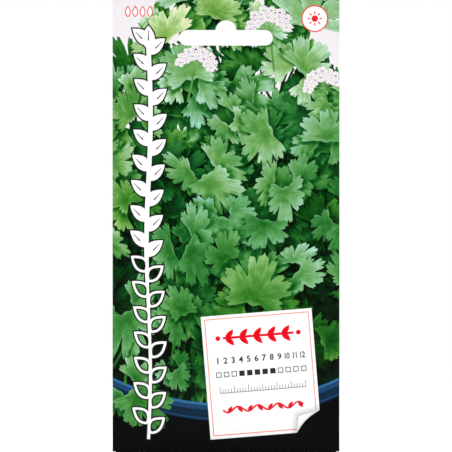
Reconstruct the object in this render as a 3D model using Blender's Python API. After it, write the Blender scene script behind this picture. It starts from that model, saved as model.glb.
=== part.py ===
"""A seed packet that hangs by a euro slot: one sheet of coated paper, folded and glued into a flat
pocket, with a small heap of coriander fruits inside.

X runs across the packet, Y from its printed front to its back, and Z up. The origin is where a shop
peg bears: the top of the slot's hump, in the middle of the header's thickness.
"""

import math
import random

import bmesh
import bpy
from mathutils import Euler, Vector

MM = 0.001

# The packet
WIDTH = 80 * MM
HEIGHT = 160 * MM
HEADER = 24 * MM
SWELL = 2.6 * MM

# The paper, drawn a little thicker than the real 0.12 mm, and the glue between two layers of it
PAPER = 0.2 * MM
JOINT = 0.2 * MM
GLUE = 0.1 * MM

# The slot
SLOT_LENGTH = 33 * MM
SLOT_HEIGHT = 5.5 * MM
HUMP_RADIUS = 3.75 * MM
HUMP_RISE = 3.4 * MM
HUMP_TO_TOP = 7.5 * MM
PUNCH_REACH = 5 * MM
GLUE_SETBACK = 1.5 * MM
GLUE_MARGIN = 1 * MM

# The folds, the tab under the back panel's edge and the flap over its foot
BOTTOM_FOLD = 0.4 * MM
FLAP_INSET = 0.8 * MM
FLAP_TAPER = 4.3 * MM
FLAP_ROWS = 5
BACK_EDGE = 1.4 * MM
TAB_EDGE = 14.5 * MM
STEP_START = 20 * MM
STEP_END = 15.2 * MM

# How the pocket swells: its belly lies low, and its sides and header stay closed
SIDE_POWER = 3.4
FOOT_POWER = 0.8
HEADER_POWER = 2.0

# How finely the sheet is divided
COLUMNS = 16
POCKET_ROWS = 18
ROW_CROWDING = 1.3
FOLD_STEPS = 6
ARC_STEPS = 10

# The fruits
SEED_DIAMETERS = (3.4 * MM, 3.6 * MM, 3.8 * MM)
SEED_RIBS = 8
SEED_RINGS = 6
RIB_DEPTH = 0.045
SEED_LENGTHENING = 1.06
SEED_TIP = 0.08
HEAP_FOOT = 17.5 * MM
HEAP_ROWS = 5
HEAP_FIRST_ROW = 11
HEAP_COLUMN = 4.4 * MM
HEAP_ROW = 3.8 * MM
HEAP_SAG = 3.6 * MM
HEAP_JITTER = 0.15 * MM
HEAP_SEED = 16

# Worked out from the above
LAYER = PAPER + JOINT
FOLD_X = (WIDTH - LAYER - PAPER) / 2
TOP = HUMP_TO_TOP
BOTTOM = TOP - HEIGHT
FOLD_Z = BOTTOM + BOTTOM_FOLD + PAPER / 2
POCKET = TOP - HEADER - FOLD_Z
SLOT_MIDDLE = -HUMP_RISE - SLOT_HEIGHT / 2
FLAP_X = FOLD_X - FLAP_INSET


def clear_scene():
    for obj in list(bpy.data.objects):
        bpy.data.objects.remove(obj)


def material(name, colour, roughness):
    made = bpy.data.materials.new(name)
    made.use_nodes = True
    shader = made.node_tree.nodes["Principled BSDF"]
    shader.inputs["Base Color"].default_value = (*colour, 1)
    shader.inputs["Roughness"].default_value = roughness
    shader.inputs["Metallic"].default_value = 0
    return made


def placed(name, mesh, finish):
    """A new object of this mesh, in the scene."""
    obj = bpy.data.objects.new(name, mesh)
    bpy.context.scene.collection.objects.link(obj)
    if not mesh.materials:
        mesh.materials.append(finish)
    return obj


def smoothstep(start, end, value):
    t = min(max((value - start) / (end - start), 0), 1)
    return t * t * (3 - 2 * t)


def rise(share):
    """The pocket's swell by height, before it is scaled to its fullest."""
    return share**FOOT_POWER * (1 - share) ** HEADER_POWER


FULLEST = rise(FOOT_POWER / (FOOT_POWER + HEADER_POWER))


def swell(x, z):
    """How far each panel stands off the flat packet at this point."""
    across = 1 - min(abs(x) / FOLD_X, 1) ** SIDE_POWER
    share = min(max((z - FOLD_Z) / POCKET, 0), 1)
    return SWELL * across * rise(share) / FULLEST


def step_over_tab(x):
    """The back panel steps out by one layer where the tab lies under it."""
    return LAYER * smoothstep(FOLD_X - STEP_START, FOLD_X - STEP_END, x)


def front(x, z):
    """The middle of the front panel's paper, as the tab and the back below are of theirs."""
    return Vector((x, -LAYER / 2 - swell(x, z), z))


def tab(x, z):
    return Vector((x, LAYER / 2 + swell(x, z), z))


def back(x, z):
    return tab(x, z) + Vector((0, step_over_tab(x), 0))


def flap(x, z):
    """The flap lies one layer outside the back panel, and its cut ends lean in as it rises."""
    end = FLAP_X - FLAP_TAPER * (z - FOLD_Z) / (ROWS[FLAP_ROWS] - FOLD_Z)
    return back(min(max(x, -end), end), z) + Vector((0, LAYER, 0))


def side_fold(side, angle, z):
    """A point on a side fold, at an angle from the front round to the back."""
    reach = LAYER / 2 * math.sin(angle)
    return Vector((side * (FOLD_X + reach), -LAYER / 2 * math.cos(angle), z))


def bottom_fold(x, angle):
    """A point on the bottom fold, at an angle from the front round to the flap."""
    near = front(x, FOLD_Z).y
    far = flap(x, FOLD_Z).y
    middle = (near + far) / 2
    return Vector(
        (x, middle + (near - middle) * math.cos(angle), FOLD_Z - BOTTOM_FOLD * math.sin(angle))
    )


def even(start, end, count):
    """Evenly spaced values, both ends included."""
    return [start + (end - start) * i / count for i in range(count + 1)]


ROWS = [FOLD_Z + POCKET * share**ROW_CROWDING for share in even(0, 1, POCKET_ROWS)] + [TOP]
ACROSS = even(-FLAP_X, FLAP_X, COLUMNS)
BACK_EDGE_X = FOLD_X - BACK_EDGE
TAB_EDGE_X = FOLD_X - TAB_EDGE


def add_panel(bm, surface, across, along):
    """Adds a grid of faces through surface(a, b), with a corner at every pair of values."""
    grid = [[bm.verts.new(surface(a, b)) for a in across] for b in along]
    for low, high in zip(grid, grid[1:]):
        for i in range(len(across) - 1):
            bm.faces.new((low[i], low[i + 1], high[i + 1], high[i]))


def sheet_object(name, panels, thickness, finish):
    """One sheet: its panels joined where their edges meet, then given the sheet's thickness."""
    bm = bmesh.new()
    for panel in panels:
        add_panel(bm, *panel)
    bmesh.ops.remove_doubles(bm, verts=bm.verts[:], dist=0.001 * MM)
    bmesh.ops.recalc_face_normals(bm, faces=bm.faces[:])
    bmesh.ops.triangulate(bm, faces=bm.faces[:], quad_method="FIXED")
    mesh = bpy.data.meshes.new(name)
    bm.to_mesh(mesh)
    bm.free()
    mesh.shade_smooth()
    obj = placed(name, mesh, finish)
    wall = obj.modifiers.new("thickness", "SOLIDIFY")
    wall.thickness = thickness
    wall.offset = 0
    wall.use_even_offset = True
    return obj


def arc(centre_x, centre_z, radius, start, end, steps):
    """Points along an arc in the XZ plane, its angles in degrees."""
    angles = [math.radians(a) for a in even(start, end, steps)]
    return [(centre_x + radius * math.cos(a), centre_z + radius * math.sin(a)) for a in angles]


def slot_outline(grow):
    """The slot's outline, grown outwards by this much: a round-ended slot with a round hump on top."""
    half = SLOT_HEIGHT / 2 + grow
    end_x = (SLOT_LENGTH - SLOT_HEIGHT) / 2
    hump = HUMP_RADIUS + grow
    start = math.degrees(math.asin((SLOT_MIDDLE + half + HUMP_RADIUS) / hump))
    return (
        arc(end_x, SLOT_MIDDLE, half, -90, 90, ARC_STEPS)
        + arc(0, -HUMP_RADIUS, hump, start, 180 - start, ARC_STEPS)
        + arc(-end_x, SLOT_MIDDLE, half, 90, 270, ARC_STEPS)
    )


def punch(name, grow, obj):
    """Cuts the slot's outline, grown by this much, through the object from front to back."""
    bm = bmesh.new()
    ring = [bm.verts.new((x, -PUNCH_REACH, z)) for x, z in slot_outline(grow)]
    face = bm.faces.new(ring)
    pushed = bmesh.ops.extrude_face_region(bm, geom=[face])["geom"]
    moved = [v for v in pushed if isinstance(v, bmesh.types.BMVert)]
    bmesh.ops.translate(bm, verts=moved, vec=(0, 2 * PUNCH_REACH, 0))
    bmesh.ops.recalc_face_normals(bm, faces=bm.faces[:])
    mesh = bpy.data.meshes.new(name)
    bm.to_mesh(mesh)
    bm.free()
    cutter = bpy.data.objects.new(name, mesh)
    bpy.context.scene.collection.objects.link(cutter)
    cutter.hide_render = True
    cutter.display_type = "WIRE"
    cut = obj.modifiers.new("slot", "BOOLEAN")
    cut.operation = "DIFFERENCE"
    cut.solver = "EXACT"
    cut.object = cutter


def make_envelope(finish):
    """The folded sheet: front panel, side folds, tab, back panel, bottom fold and flap."""
    turn = even(0, math.pi, FOLD_STEPS)
    inner = ACROSS[1:-1]
    on_back = [x for x in inner if x < BACK_EDGE_X]
    on_tab = [x for x in inner if x > TAB_EDGE_X]
    envelope = sheet_object(
        "envelope",
        (
            (front, [-FOLD_X, *ACROSS, FOLD_X], ROWS),
            (lambda a, z: side_fold(-1, a, z), turn, ROWS),
            (lambda a, z: side_fold(1, a, z), turn, ROWS),
            (tab, [TAB_EDGE_X, *on_tab, BACK_EDGE_X, FOLD_X], ROWS),
            (back, [-FOLD_X, -FLAP_X, *on_back, BACK_EDGE_X], ROWS),
            (bottom_fold, ACROSS, turn),
            (flap, ACROSS, ROWS[: FLAP_ROWS + 1]),
        ),
        PAPER,
        finish,
    )
    punch("slot_punch", 0, envelope)


def make_glue(finish):
    """The three films of glue, each in the middle of the room between two layers of paper."""
    between = Vector((0, LAYER / 2, 0))
    header = sheet_object(
        "header_glue",
        ((lambda x, z: Vector((x, 0, z)), (-FLAP_X, BACK_EDGE_X), (ROWS[-2], TOP - GLUE_MARGIN)),),
        GLUE,
        finish,
    )
    punch("glue_punch", GLUE_SETBACK, header)
    side = [x for x in ACROSS if TAB_EDGE_X < x < BACK_EDGE_X]
    sheet_object(
        "side_glue",
        ((lambda x, z: tab(x, z) + between, side, [*ROWS[1:-1], TOP - GLUE_MARGIN]),),
        GLUE,
        finish,
    )
    foot = [x for x in ACROSS if abs(x) < FLAP_X - FLAP_TAPER]
    sheet_object(
        "flap_glue",
        ((lambda x, z: back(x, z) + between, foot, ROWS[1:FLAP_ROWS]),),
        GLUE,
        finish,
    )


def seed_mesh(name, diameter, finish):
    """A coriander fruit: a round husk a little longer than wide, ribbed from its foot to its pointed tip."""
    bm = bmesh.new()
    around = 2 * SEED_RIBS
    radius = diameter / 2
    groove = 1 - 2 * RIB_DEPTH
    rings = []
    for i in range(1, SEED_RINGS):
        polar = math.pi * i / SEED_RINGS
        ring = []
        for j in range(around):
            turn = 2 * math.pi * j / around
            out = radius * math.sin(polar) * (groove if j % 2 else 1)
            height = radius * math.cos(polar) * SEED_LENGTHENING
            ring.append(bm.verts.new((out * math.cos(turn), out * math.sin(turn), height)))
        rings.append(ring)
    tip = bm.verts.new((0, 0, radius * (SEED_LENGTHENING + SEED_TIP)))
    foot = bm.verts.new((0, 0, -radius * SEED_LENGTHENING))
    for j in range(around):
        k = (j + 1) % around
        bm.faces.new((tip, rings[0][j], rings[0][k]))
        bm.faces.new((foot, rings[-1][k], rings[-1][j]))
        for upper, lower in zip(rings, rings[1:]):
            bm.faces.new((upper[j], lower[j], lower[k], upper[k]))
    mesh = bpy.data.meshes.new(name)
    bm.to_mesh(mesh)
    bm.free()
    mesh.materials.append(finish)
    mesh.shade_smooth()
    return mesh


def make_seeds(finish):
    """The heap: rows of fruits wedged in the pocket's foot, each row one shorter than the row under it."""
    draw = random.Random(HEAP_SEED)
    meshes = [seed_mesh(f"fruit_{i}", d, finish) for i, d in enumerate(SEED_DIAMETERS, 1)]
    number = 0
    for row in range(HEAP_ROWS):
        count = HEAP_FIRST_ROW - row
        for i in range(count):
            number += 1
            which = draw.randrange(len(meshes))
            x = (i - (count - 1) / 2) * HEAP_COLUMN + draw.uniform(-HEAP_JITTER, HEAP_JITTER)
            sag = HEAP_SAG * (2 * x / (HEAP_FIRST_ROW * HEAP_COLUMN)) ** 2
            z = BOTTOM + HEAP_FOOT + row * HEAP_ROW + sag + draw.uniform(-HEAP_JITTER, HEAP_JITTER)
            room = swell(x, z) + JOINT / 2 - SEED_DIAMETERS[which] / 2 * (SEED_LENGTHENING + SEED_TIP)
            y = draw.uniform(-1, 1) * max(room, 0)
            seed = placed(f"seed_{number:02d}", meshes[which], finish)
            seed.location = (x, y, z)
            seed.rotation_euler = Euler([draw.uniform(0, 2 * math.pi) for _ in range(3)])


def main():
    clear_scene()
    make_envelope(material("printed_paper", (0.22, 0.4, 0.2), 0.45))
    make_glue(material("dried_glue", (0.8, 0.76, 0.62), 0.5))
    make_seeds(material("seed_husk", (0.5, 0.33, 0.15), 0.75))


main()
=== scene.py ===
# %% [markdown]
# # A seed packet, folded from one printed sheet
#
# A seed packet is a single sheet of thin coated paper. The printer lays every ink on it while it is flat;
# then it is cut out, punched, folded round, glued and filled. This lesson works in the same order. The
# print could be an image wrapped round the packet, but it would be only as sharp as the image's pixels.
# So the print is drawn flat, in millimetres. The sheet is cut into triangles along its edges, and one
# formula folds it up. Each line of the print is then as sharp as the mesh, and it goes round the folds.

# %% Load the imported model
import math
import random

import bmesh
import bpy
import numpy as np
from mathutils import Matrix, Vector, geometry


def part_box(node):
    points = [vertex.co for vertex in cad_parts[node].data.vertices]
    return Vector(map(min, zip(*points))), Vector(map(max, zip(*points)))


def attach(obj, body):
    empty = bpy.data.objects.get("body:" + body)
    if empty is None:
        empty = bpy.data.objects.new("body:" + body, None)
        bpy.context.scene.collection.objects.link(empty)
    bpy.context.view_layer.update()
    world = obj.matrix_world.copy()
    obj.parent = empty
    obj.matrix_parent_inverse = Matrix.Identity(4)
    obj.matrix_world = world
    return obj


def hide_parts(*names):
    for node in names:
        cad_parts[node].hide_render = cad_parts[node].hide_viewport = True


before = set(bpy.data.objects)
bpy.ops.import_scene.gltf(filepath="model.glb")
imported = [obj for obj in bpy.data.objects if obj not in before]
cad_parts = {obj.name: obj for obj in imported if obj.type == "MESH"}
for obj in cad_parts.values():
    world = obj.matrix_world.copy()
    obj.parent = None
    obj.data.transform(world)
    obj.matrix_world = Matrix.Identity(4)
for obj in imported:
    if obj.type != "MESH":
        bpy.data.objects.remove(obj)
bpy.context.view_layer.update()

print("the packed model has", len(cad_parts), "nodes")

# %% [markdown]
# ## The sheet's sizes
#
# All drawing here is in millimetres. The packet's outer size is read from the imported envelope, so this
# sheet can't drift away from it. The rest repeats the paper's own dimensions: its thickness, the distance
# between the middles of two glued layers, the folds, and how far the flap and the tab reach. A place on
# the flat sheet is u across and v up, so a name that ends in U or V is a place on it.

# %% Sizes in millimetres
MM = 0.001
PAPER = 0.2
LAYER = 0.4
HEADER = 24
SWELL = 2.6
BOTTOM_FOLD = 0.4
FLAP_INSET = 0.8
FLAP_TAPER = 4.3
FLAP_HEIGHT = 25.6
BACK_EDGE = 1.4
TAB_EDGE = 14.5
LAP_START = 20
LAP_END = 15.2
SIDE_POWER = 3.4
FOOT_POWER = 0.8
HEADER_POWER = 2.0

low, high = (np.array(corner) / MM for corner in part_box("envelope"))
TOP, BOTTOM = high[2], low[2]
FOLD_X = high[0] - (LAYER + PAPER) / 2
FOLD_Z = BOTTOM + BOTTOM_FOLD + PAPER / 2
POCKET = TOP - HEADER - FOLD_Z
SIDE_ARC = math.pi * LAYER / 2
FOOT_ARC = math.pi * BOTTOM_FOLD
FLAP_X = FOLD_X - FLAP_INSET
BACK_MIDDLE = -2 * FOLD_X - SIDE_ARC
BACK_U = BACK_MIDDLE - (FOLD_X - BACK_EDGE)
TAB_U = 2 * FOLD_X + SIDE_ARC - (FOLD_X - TAB_EDGE)
print(f"packet {high[0] - low[0]:.1f} x {TOP - BOTTOM:.1f} mm, blank {TAB_U - BACK_U:.1f} mm wide")

# %% [markdown]
# ## How the filled packet swells
#
# Both panels bow outwards over the seeds and stay flat at the folds and in the header. A cloth simulation
# could blow them up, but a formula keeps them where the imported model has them. Real paper is never quite
# smooth: hands leave soft ridges in it, and each seed presses a faint bump into both panels. Both are
# kept to about a tenth of a millimetre, so that they only show where the light grazes the varnish.

# %% Swell
seed_names = sorted(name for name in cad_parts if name.startswith("seed_"))
seed_boxes = [[np.array(corner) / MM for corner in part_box(name)] for name in seed_names]
seed_middles = np.array([(a + b) / 2 for a, b in seed_boxes])
fullest_share = FOOT_POWER / (FOOT_POWER + HEADER_POWER)
FULLEST = fullest_share**FOOT_POWER * (1 - fullest_share) ** HEADER_POWER


def smoothstep(start, end, value):
    t = np.clip((value - start) / (end - start), 0, 1)
    return t * t * (3 - 2 * t)


def swell(x, z):
    share = np.clip((z - FOLD_Z) / POCKET, 0, 1)
    rise = share**FOOT_POWER * (1 - share) ** HEADER_POWER / FULLEST
    return SWELL * (1 - np.clip(np.abs(x) / FOLD_X, 0, 1) ** SIDE_POWER) * rise


print(f"{len(seed_middles)} seeds; the paper stands {swell(0, FOLD_Z + 0.3 * POCKET):.2f} mm out over them")

# %% Ridges and seed bumps
BUMP_HEIGHT = 0.1
BUMP_REACH = 1.4
RIDGES = 9
RIDGE_SIDE = 28
RIDGE_MARGIN = 12
RIDGE_HALF_LENGTHS = (9, 20)
RIDGE_HALF_WIDTHS = (1.6, 3)
RIDGE_HEIGHTS = (0.05, 0.12)
FULL_MARKS_FROM = 0.4


def ridges_of(seed):
    """Soft ridges of a handled panel: middle, direction, half length, half width and height."""
    draw = random.Random(seed)
    limits = (RIDGE_HALF_LENGTHS, RIDGE_HALF_WIDTHS, RIDGE_HEIGHTS)
    made = []
    for _ in range(RIDGES):
        x = draw.uniform(-RIDGE_SIDE, RIDGE_SIDE)
        z = draw.uniform(BOTTOM + RIDGE_MARGIN, TOP - HEADER - RIDGE_MARGIN)
        turn = draw.uniform(0, math.pi)
        made.append((x, z, turn, *(draw.uniform(least, most) for least, most in limits)))
    return made


panel_ridges = {-1: ridges_of(5), 1: ridges_of(8)}


def bulge(x, z, side):
    """How far a panel's paper stands out, side -1 for the front and 1 for the back."""
    body = swell(x, z)
    fade = np.clip(body / (FULL_MARKS_FROM * SWELL), 0, 1)
    marks = np.zeros_like(body)
    for mx, mz, turn, length, width, height in panel_ridges[side]:
        along = (x - mx) * math.cos(turn) + (z - mz) * math.sin(turn)
        across = (z - mz) * math.cos(turn) - (x - mx) * math.sin(turn)
        marks += height * np.exp(-((along / length) ** 2) - (across / width) ** 2)
    near = z < seed_middles[:, 2].max() + 4 * BUMP_REACH
    for mx, _, mz in seed_middles:
        apart = (x[near] - mx) ** 2 + (z[near] - mz) ** 2
        marks[near] += BUMP_HEIGHT * np.exp(-apart / BUMP_REACH**2)
    return body + marks * fade


print("ridges on each panel:", RIDGES)

# %% [markdown]
# ## One formula folds the sheet
#
# On the front panel, u and v are simply x and z. Past the side folds the paper turns round a small arc
# and comes back behind: on the left as the whole back panel, on the right as the narrow glue tab. Below
# the front it turns up as the bottom flap. The packet could be modelled folded, but a formula also takes
# every point of the print along. The printed side is always the cross product of the two directions, so
# it faces outwards.

# %% Where the middle of the paper goes
FRONT, LEFT, RIGHT, FOOT = range(4)
PROBE = 0.02


def zone_of(u, v):
    sides = np.where(u < -FOLD_X, LEFT, np.where(u > FOLD_X, RIGHT, FRONT))
    return np.where((v < FOLD_Z) & (np.abs(u) < FLAP_X + PROBE), FOOT, sides)


def paper_middle(u, v, zone):
    """The folded place of the middle of the paper's thickness."""
    past = np.abs(u) - FOLD_X
    turn = np.clip(past / SIDE_ARC, 0, 1) * math.pi
    x = np.sign(u) * (FOLD_X + LAYER / 2 * np.sin(turn) - np.maximum(past - SIDE_ARC, 0))
    below = FOLD_Z - v
    foot_turn = np.clip(below / FOOT_ARC, 0, 1) * math.pi
    z = FOLD_Z - BOTTOM_FOLD * np.sin(foot_turn) + np.maximum(below - FOOT_ARC, 0)
    flat = (zone == FRONT) | (zone == FOOT)
    x = np.where(flat, u, x)
    z = np.where(zone == FOOT, z, v)
    behind = bulge(x, z, 1)
    lap = LAYER * smoothstep(FOLD_X - LAP_START, FOLD_X - LAP_END, x)
    flap = LAYER * 1.5 + behind + lap
    foot = -LAYER / 2 + (flap + LAYER / 2) * (1 - np.cos(foot_turn)) / 2
    tab = -LAYER / 2 * np.cos(turn) + behind
    front = -LAYER / 2 - bulge(x, z, -1)
    y = np.select([zone == FRONT, zone == LEFT, zone == RIGHT], [front, tab + lap, tab], foot)
    return np.stack([x, y, z], 1)


print("zones of the sheet:", FOOT + 1)

# %% The two sides of the paper, and the blank
def folded(flat, lift):
    """Folded places of flat points, lifted off the middle of the paper towards the print."""
    u, v = flat.T
    zone = zone_of(u, v)
    across = paper_middle(u + PROBE, v, zone) - paper_middle(u - PROBE, v, zone)
    upwards = paper_middle(u, v + PROBE, zone) - paper_middle(u, v - PROBE, zone)
    out = np.cross(across, upwards)
    out /= np.linalg.norm(out, axis=1)[:, None]
    return paper_middle(u, v, zone) + out * lift


FLAP_FOOT = FOLD_Z - FOOT_ARC
blank = np.array([
    (BACK_U, TOP),
    (BACK_U, FOLD_Z),
    (-FLAP_X, FOLD_Z),
    (-FLAP_X, FLAP_FOOT),
    (-FLAP_X + FLAP_TAPER, FLAP_FOOT - FLAP_HEIGHT),
    (FLAP_X - FLAP_TAPER, FLAP_FOOT - FLAP_HEIGHT),
    (FLAP_X, FLAP_FOOT),
    (FLAP_X, FOLD_Z),
    (TAB_U, FOLD_Z),
    (TAB_U, TOP),
])
print("the blank has", len(blank), "corners")

# %% [markdown]
# ## The euro slot
#
# The slot is a long hole with round ends and a hump over its middle, where a shop's peg bears. It is
# punched through the flat sheet twice, once in the front and once in the back panel, so that the two
# holes meet when the sheet is folded. A Boolean could cut it, but as an outline it is cut with the
# print's edges.

# %% The slot's outline
SLOT_LENGTH = 33
SLOT_HEIGHT = 5.5
HUMP_RADIUS = 3.75
HUMP_RISE = 3.4


def arc(centre, radius, start, end, steps):
    """Points along an arc, its angles in degrees."""
    turns = np.radians(np.linspace(start, end, steps + 1))
    return np.array(centre) + radius * np.stack([np.cos(turns), np.sin(turns)], 1)


def slot_outline():
    half = SLOT_HEIGHT / 2
    middle = -HUMP_RISE - half
    reach = SLOT_LENGTH / 2 - half
    lift = math.degrees(math.asin((HUMP_RADIUS - HUMP_RISE) / HUMP_RADIUS))
    hump = arc((0, -HUMP_RADIUS), HUMP_RADIUS, lift, 180 - lift, 24)
    left = arc((-reach, middle), half, 90, 270, 20)
    right = arc((reach, middle), half, -90, 90, 20)
    return np.concatenate([hump, left, right])


front_slot = slot_outline()
back_slot = slot_outline() + (BACK_MIDDLE, 0)
print("slot", np.ptp(front_slot[:, 0]).round(2), "x", np.ptp(front_slot[:, 1]).round(2), "mm")

# %% [markdown]
# ## Inks and pens
#
# The print is a list of outlines in the order in which they are laid down, each over the ones before. A
# shape names its ink. The pens below give the outlines that the design is drawn with: discs, ribbons
# along a path, pointed blades, and an outline grown by the width of a contour line.

# %% A printed shape
sheet = []


class Shape:
    """A closed outline on the flat sheet, and what fills it."""

    def __init__(self, outline, ink, covers, facts):
        self.outline = np.asarray(outline, float)
        self.ink = ink
        self.covers = covers
        self.facts = facts
        self.low = self.outline.min(0)
        self.high = self.outline.max(0)

    def holds(self, points):
        """Which of the points lie inside, by counting the outline's crossings."""
        held = np.zeros(len(points), bool)
        near = np.flatnonzero(((points > self.low) & (points < self.high)).all(1))
        if len(near):
            x, y = points[near, :1], points[near, 1:]
            (ax, ay), (bx, by) = self.outline.T, np.roll(self.outline, -1, 0).T
            crosses = (ay > y) != (by > y)
            rise = np.where(by == ay, 1, by - ay)
            held[near] = (crosses & (x < ax + (y - ay) / rise * (bx - ax))).sum(1) % 2 == 1
        return held


def lay(outline, ink, covers=False, **facts):
    sheet.append(Shape(outline, ink, covers, facts))


print("the sheet is blank:", len(sheet), "shapes")

# %% Pens
BLADE_STEPS = 11
# Powers that set where a blade is widest and how full its sides are
BELLY = 0.85
FULLNESS = 0.9
TIP_REACH = 2


def turned(points, degrees):
    c, s = math.cos(math.radians(degrees)), math.sin(math.radians(degrees))
    return np.asarray(points, float) @ np.array([[c, s], [-s, c]])


def disc(centre, radius, steps=40):
    return arc(centre, radius, 0, 360, steps)[:-1]


def sideways(path):
    """Unit vectors to the left of a path, one at each of its points."""
    ahead = np.gradient(path, axis=0)
    ahead /= np.linalg.norm(ahead, axis=1)[:, None]
    return np.stack([-ahead[:, 1], ahead[:, 0]], 1)


def ribbon(path, width):
    path = np.asarray(path, float)
    side = sideways(path) * np.reshape(width, (-1, 1)) / 2
    return np.concatenate([path - side, (path + side)[::-1]])


def blade(foot, heading, length, width, bow=0.0, steps=BLADE_STEPS):
    """A pointed blade. Its heading is in degrees, and its bow to one side is a share of its length."""
    t = np.linspace(0, 1, steps)
    half = width / 2 * np.sin(math.pi * t**BELLY) ** FULLNESS
    middle = bow * length * np.sin(math.pi * t)
    right = np.stack([length * t, middle - half], 1)
    left = np.stack([length * t, middle + half], 1)[-2:0:-1]
    return turned(np.concatenate([right, left]), heading) + foot


def grown(outline, by):
    """An outline moved outwards all round; at a sharp tip it goes out no more than twice as far."""
    ahead = np.roll(outline, -1, 0) - outline
    ahead /= np.linalg.norm(ahead, axis=1)[:, None]
    out = np.stack([ahead[:, 1], -ahead[:, 0]], 1)
    both = out + np.roll(out, 1, 0)
    size = np.linalg.norm(both, axis=1)[:, None]
    size = np.maximum(size, 1e-6)
    return outline + both / size * by * np.minimum(2 / size, TIP_REACH)


print("a 10 mm blade has", len(blade((0, 0), 0, 10, 4)), "points")

# %% [markdown]
# ## The picture: a bush of herb leaves
#
# The front shows a bush of fresh green leaves against a pale sky. A leaf of this kind is a fan of lobes,
# each lobe cut into rounded teeth. It could be traced point by point, but in polar form it is one
# function of the angle: the lobe that reaches furthest wins. No two leaves are alike, so each draws its
# own teeth, its web and the length of its lobes from the seeded random numbers.

# %% A leaf's outline
# Each lobe's angle from the middle one, its length as a share of the leaf's, and half its width as an angle
LOBES = ((0, 1, 0.47), (0.92, 0.95, 0.46), (-0.92, 0.95, 0.46), (1.74, 0.7, 0.4), (-1.74, 0.7, 0.4))
LEAF_POINTS = 160
LOBE_POWER = 4.6
TEETH = 3
TOOTH_POWER = 0.6
NICKS = 9
NICK_DEPTH = 0.035


class Leaf:
    """One leaf of the picture: its middle, length, heading, the way it leans, its form and its colour."""

    def __init__(self, middle, length, heading, squash, lean, tone, warmth, draw):
        self.middle = np.array(middle)
        self.length = length
        self.heading = heading
        self.tone = tone
        self.warmth = warmth
        self.light = draw.uniform(0, 2 * math.pi)
        self.streak = draw.uniform(0, 900)
        self.web = draw.uniform(0.42, 0.6)
        self.tooth = draw.uniform(0.15, 0.27)
        self.spread = draw.uniform(0.88, 1.04)
        self.uneven = [draw.gauss(1, 0.06) for _ in LOBES]
        c, s = math.cos(lean), math.sin(lean)
        rows = np.array([[c, s], [-s, c]])
        h, k = math.cos(heading), math.sin(heading)
        spin = np.array([[h, k], [-k, h]])
        self.to_sheet = spin @ rows.T @ np.diag([squash, 1]) @ rows * length
        self.to_leaf = np.linalg.inv(self.to_sheet)

    def reach(self, turn):
        """How far the leaf reaches at an angle from its middle lobe, and the place across its lobe."""
        # The web between the lobes is cut in where the stalk joins it
        best = self.web * (0.3 + 0.7 * smoothstep(0.75, 1.75, math.pi - np.abs(turn)))
        across = np.zeros(np.shape(turn))
        for (angle, length, half), uneven in zip(LOBES, self.uneven):
            t = ((turn - angle * self.spread + math.pi) % (2 * math.pi) - math.pi) / (half * self.spread)
            lobe = length * uneven * np.clip(1 - np.abs(t) ** LOBE_POWER, 0, 1) ** 0.5
            lobe *= 1 - self.tooth + self.tooth * np.abs(np.cos(TEETH / 2 * math.pi * t)) ** TOOTH_POWER
            lobe *= 1 + NICK_DEPTH * np.cos(NICKS * math.pi * t)
            wins = lobe > best
            best = np.where(wins, lobe, best)
            across = np.where(wins, t, across)
        return best, across

    def seen_from_stalk(self, points):
        """Distance from the stalk in leaf lengths, and the angle from the middle lobe."""
        x, y = ((points - self.middle) @ self.to_leaf).T
        return np.hypot(x, y), np.arctan2(y, x)

    def outline(self):
        turns = np.linspace(-math.pi, math.pi, LEAF_POINTS, endpoint=False)
        reach, _ = self.reach(turns)
        return np.stack([reach * np.cos(turns), reach * np.sin(turns)], 1) @ self.to_sheet + self.middle


test_leaf = Leaf((0, 0), 10, 0.3, 0.8, 1, 0.5, 0, random.Random(1))
print("a 10 mm leaf is", np.ptp(test_leaf.outline(), 0).round(1), "mm across and up")

# %% [markdown]
# ## Growing the bush
#
# Leaves grow in threes on a stalk, or one large leaf stands alone. They could be set out by hand, but
# there are hundreds. So clusters are dropped at random places with a fixed seed, and a place too near
# another of its layer is left out, which spreads them evenly. Three layers are grown from the back to the
# front, each lighter than the one behind it, so that the bush looks deep. It ends below the sky in both
# upper corners and thins out towards the pot. Most clusters lean outwards, and some hang down.

# %% A cluster of leaves
BUSH_SEED = 11
# Each leaflet's turn off the stalk, its distance from the stalk's end and its size
LEAFLETS = ((1.5, 0.3, 0.8), (-1.5, 0.3, 0.8), (0, 0.35, 1))
ONE_LEAF = ((0, 0.2, 1.15),)
ALONE = 0.35
YELLOWED = 0.08
YELLOWER = 0.5
PALEST = 0.68
FAN_FOOT = 10
FAN_WIDTH = 1.6
# The light from above: heights over the packet's foot, and how much lighter leaves are there
LIFT_HEIGHTS = (30, 95, 125, 150)
LIFTS = (-0.045, 0.04, 0.205, 0.31)
draw = random.Random(BUSH_SEED)
leaves = []
stalks = []


def towards(angle):
    return np.array((math.cos(angle), math.sin(angle)))


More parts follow.
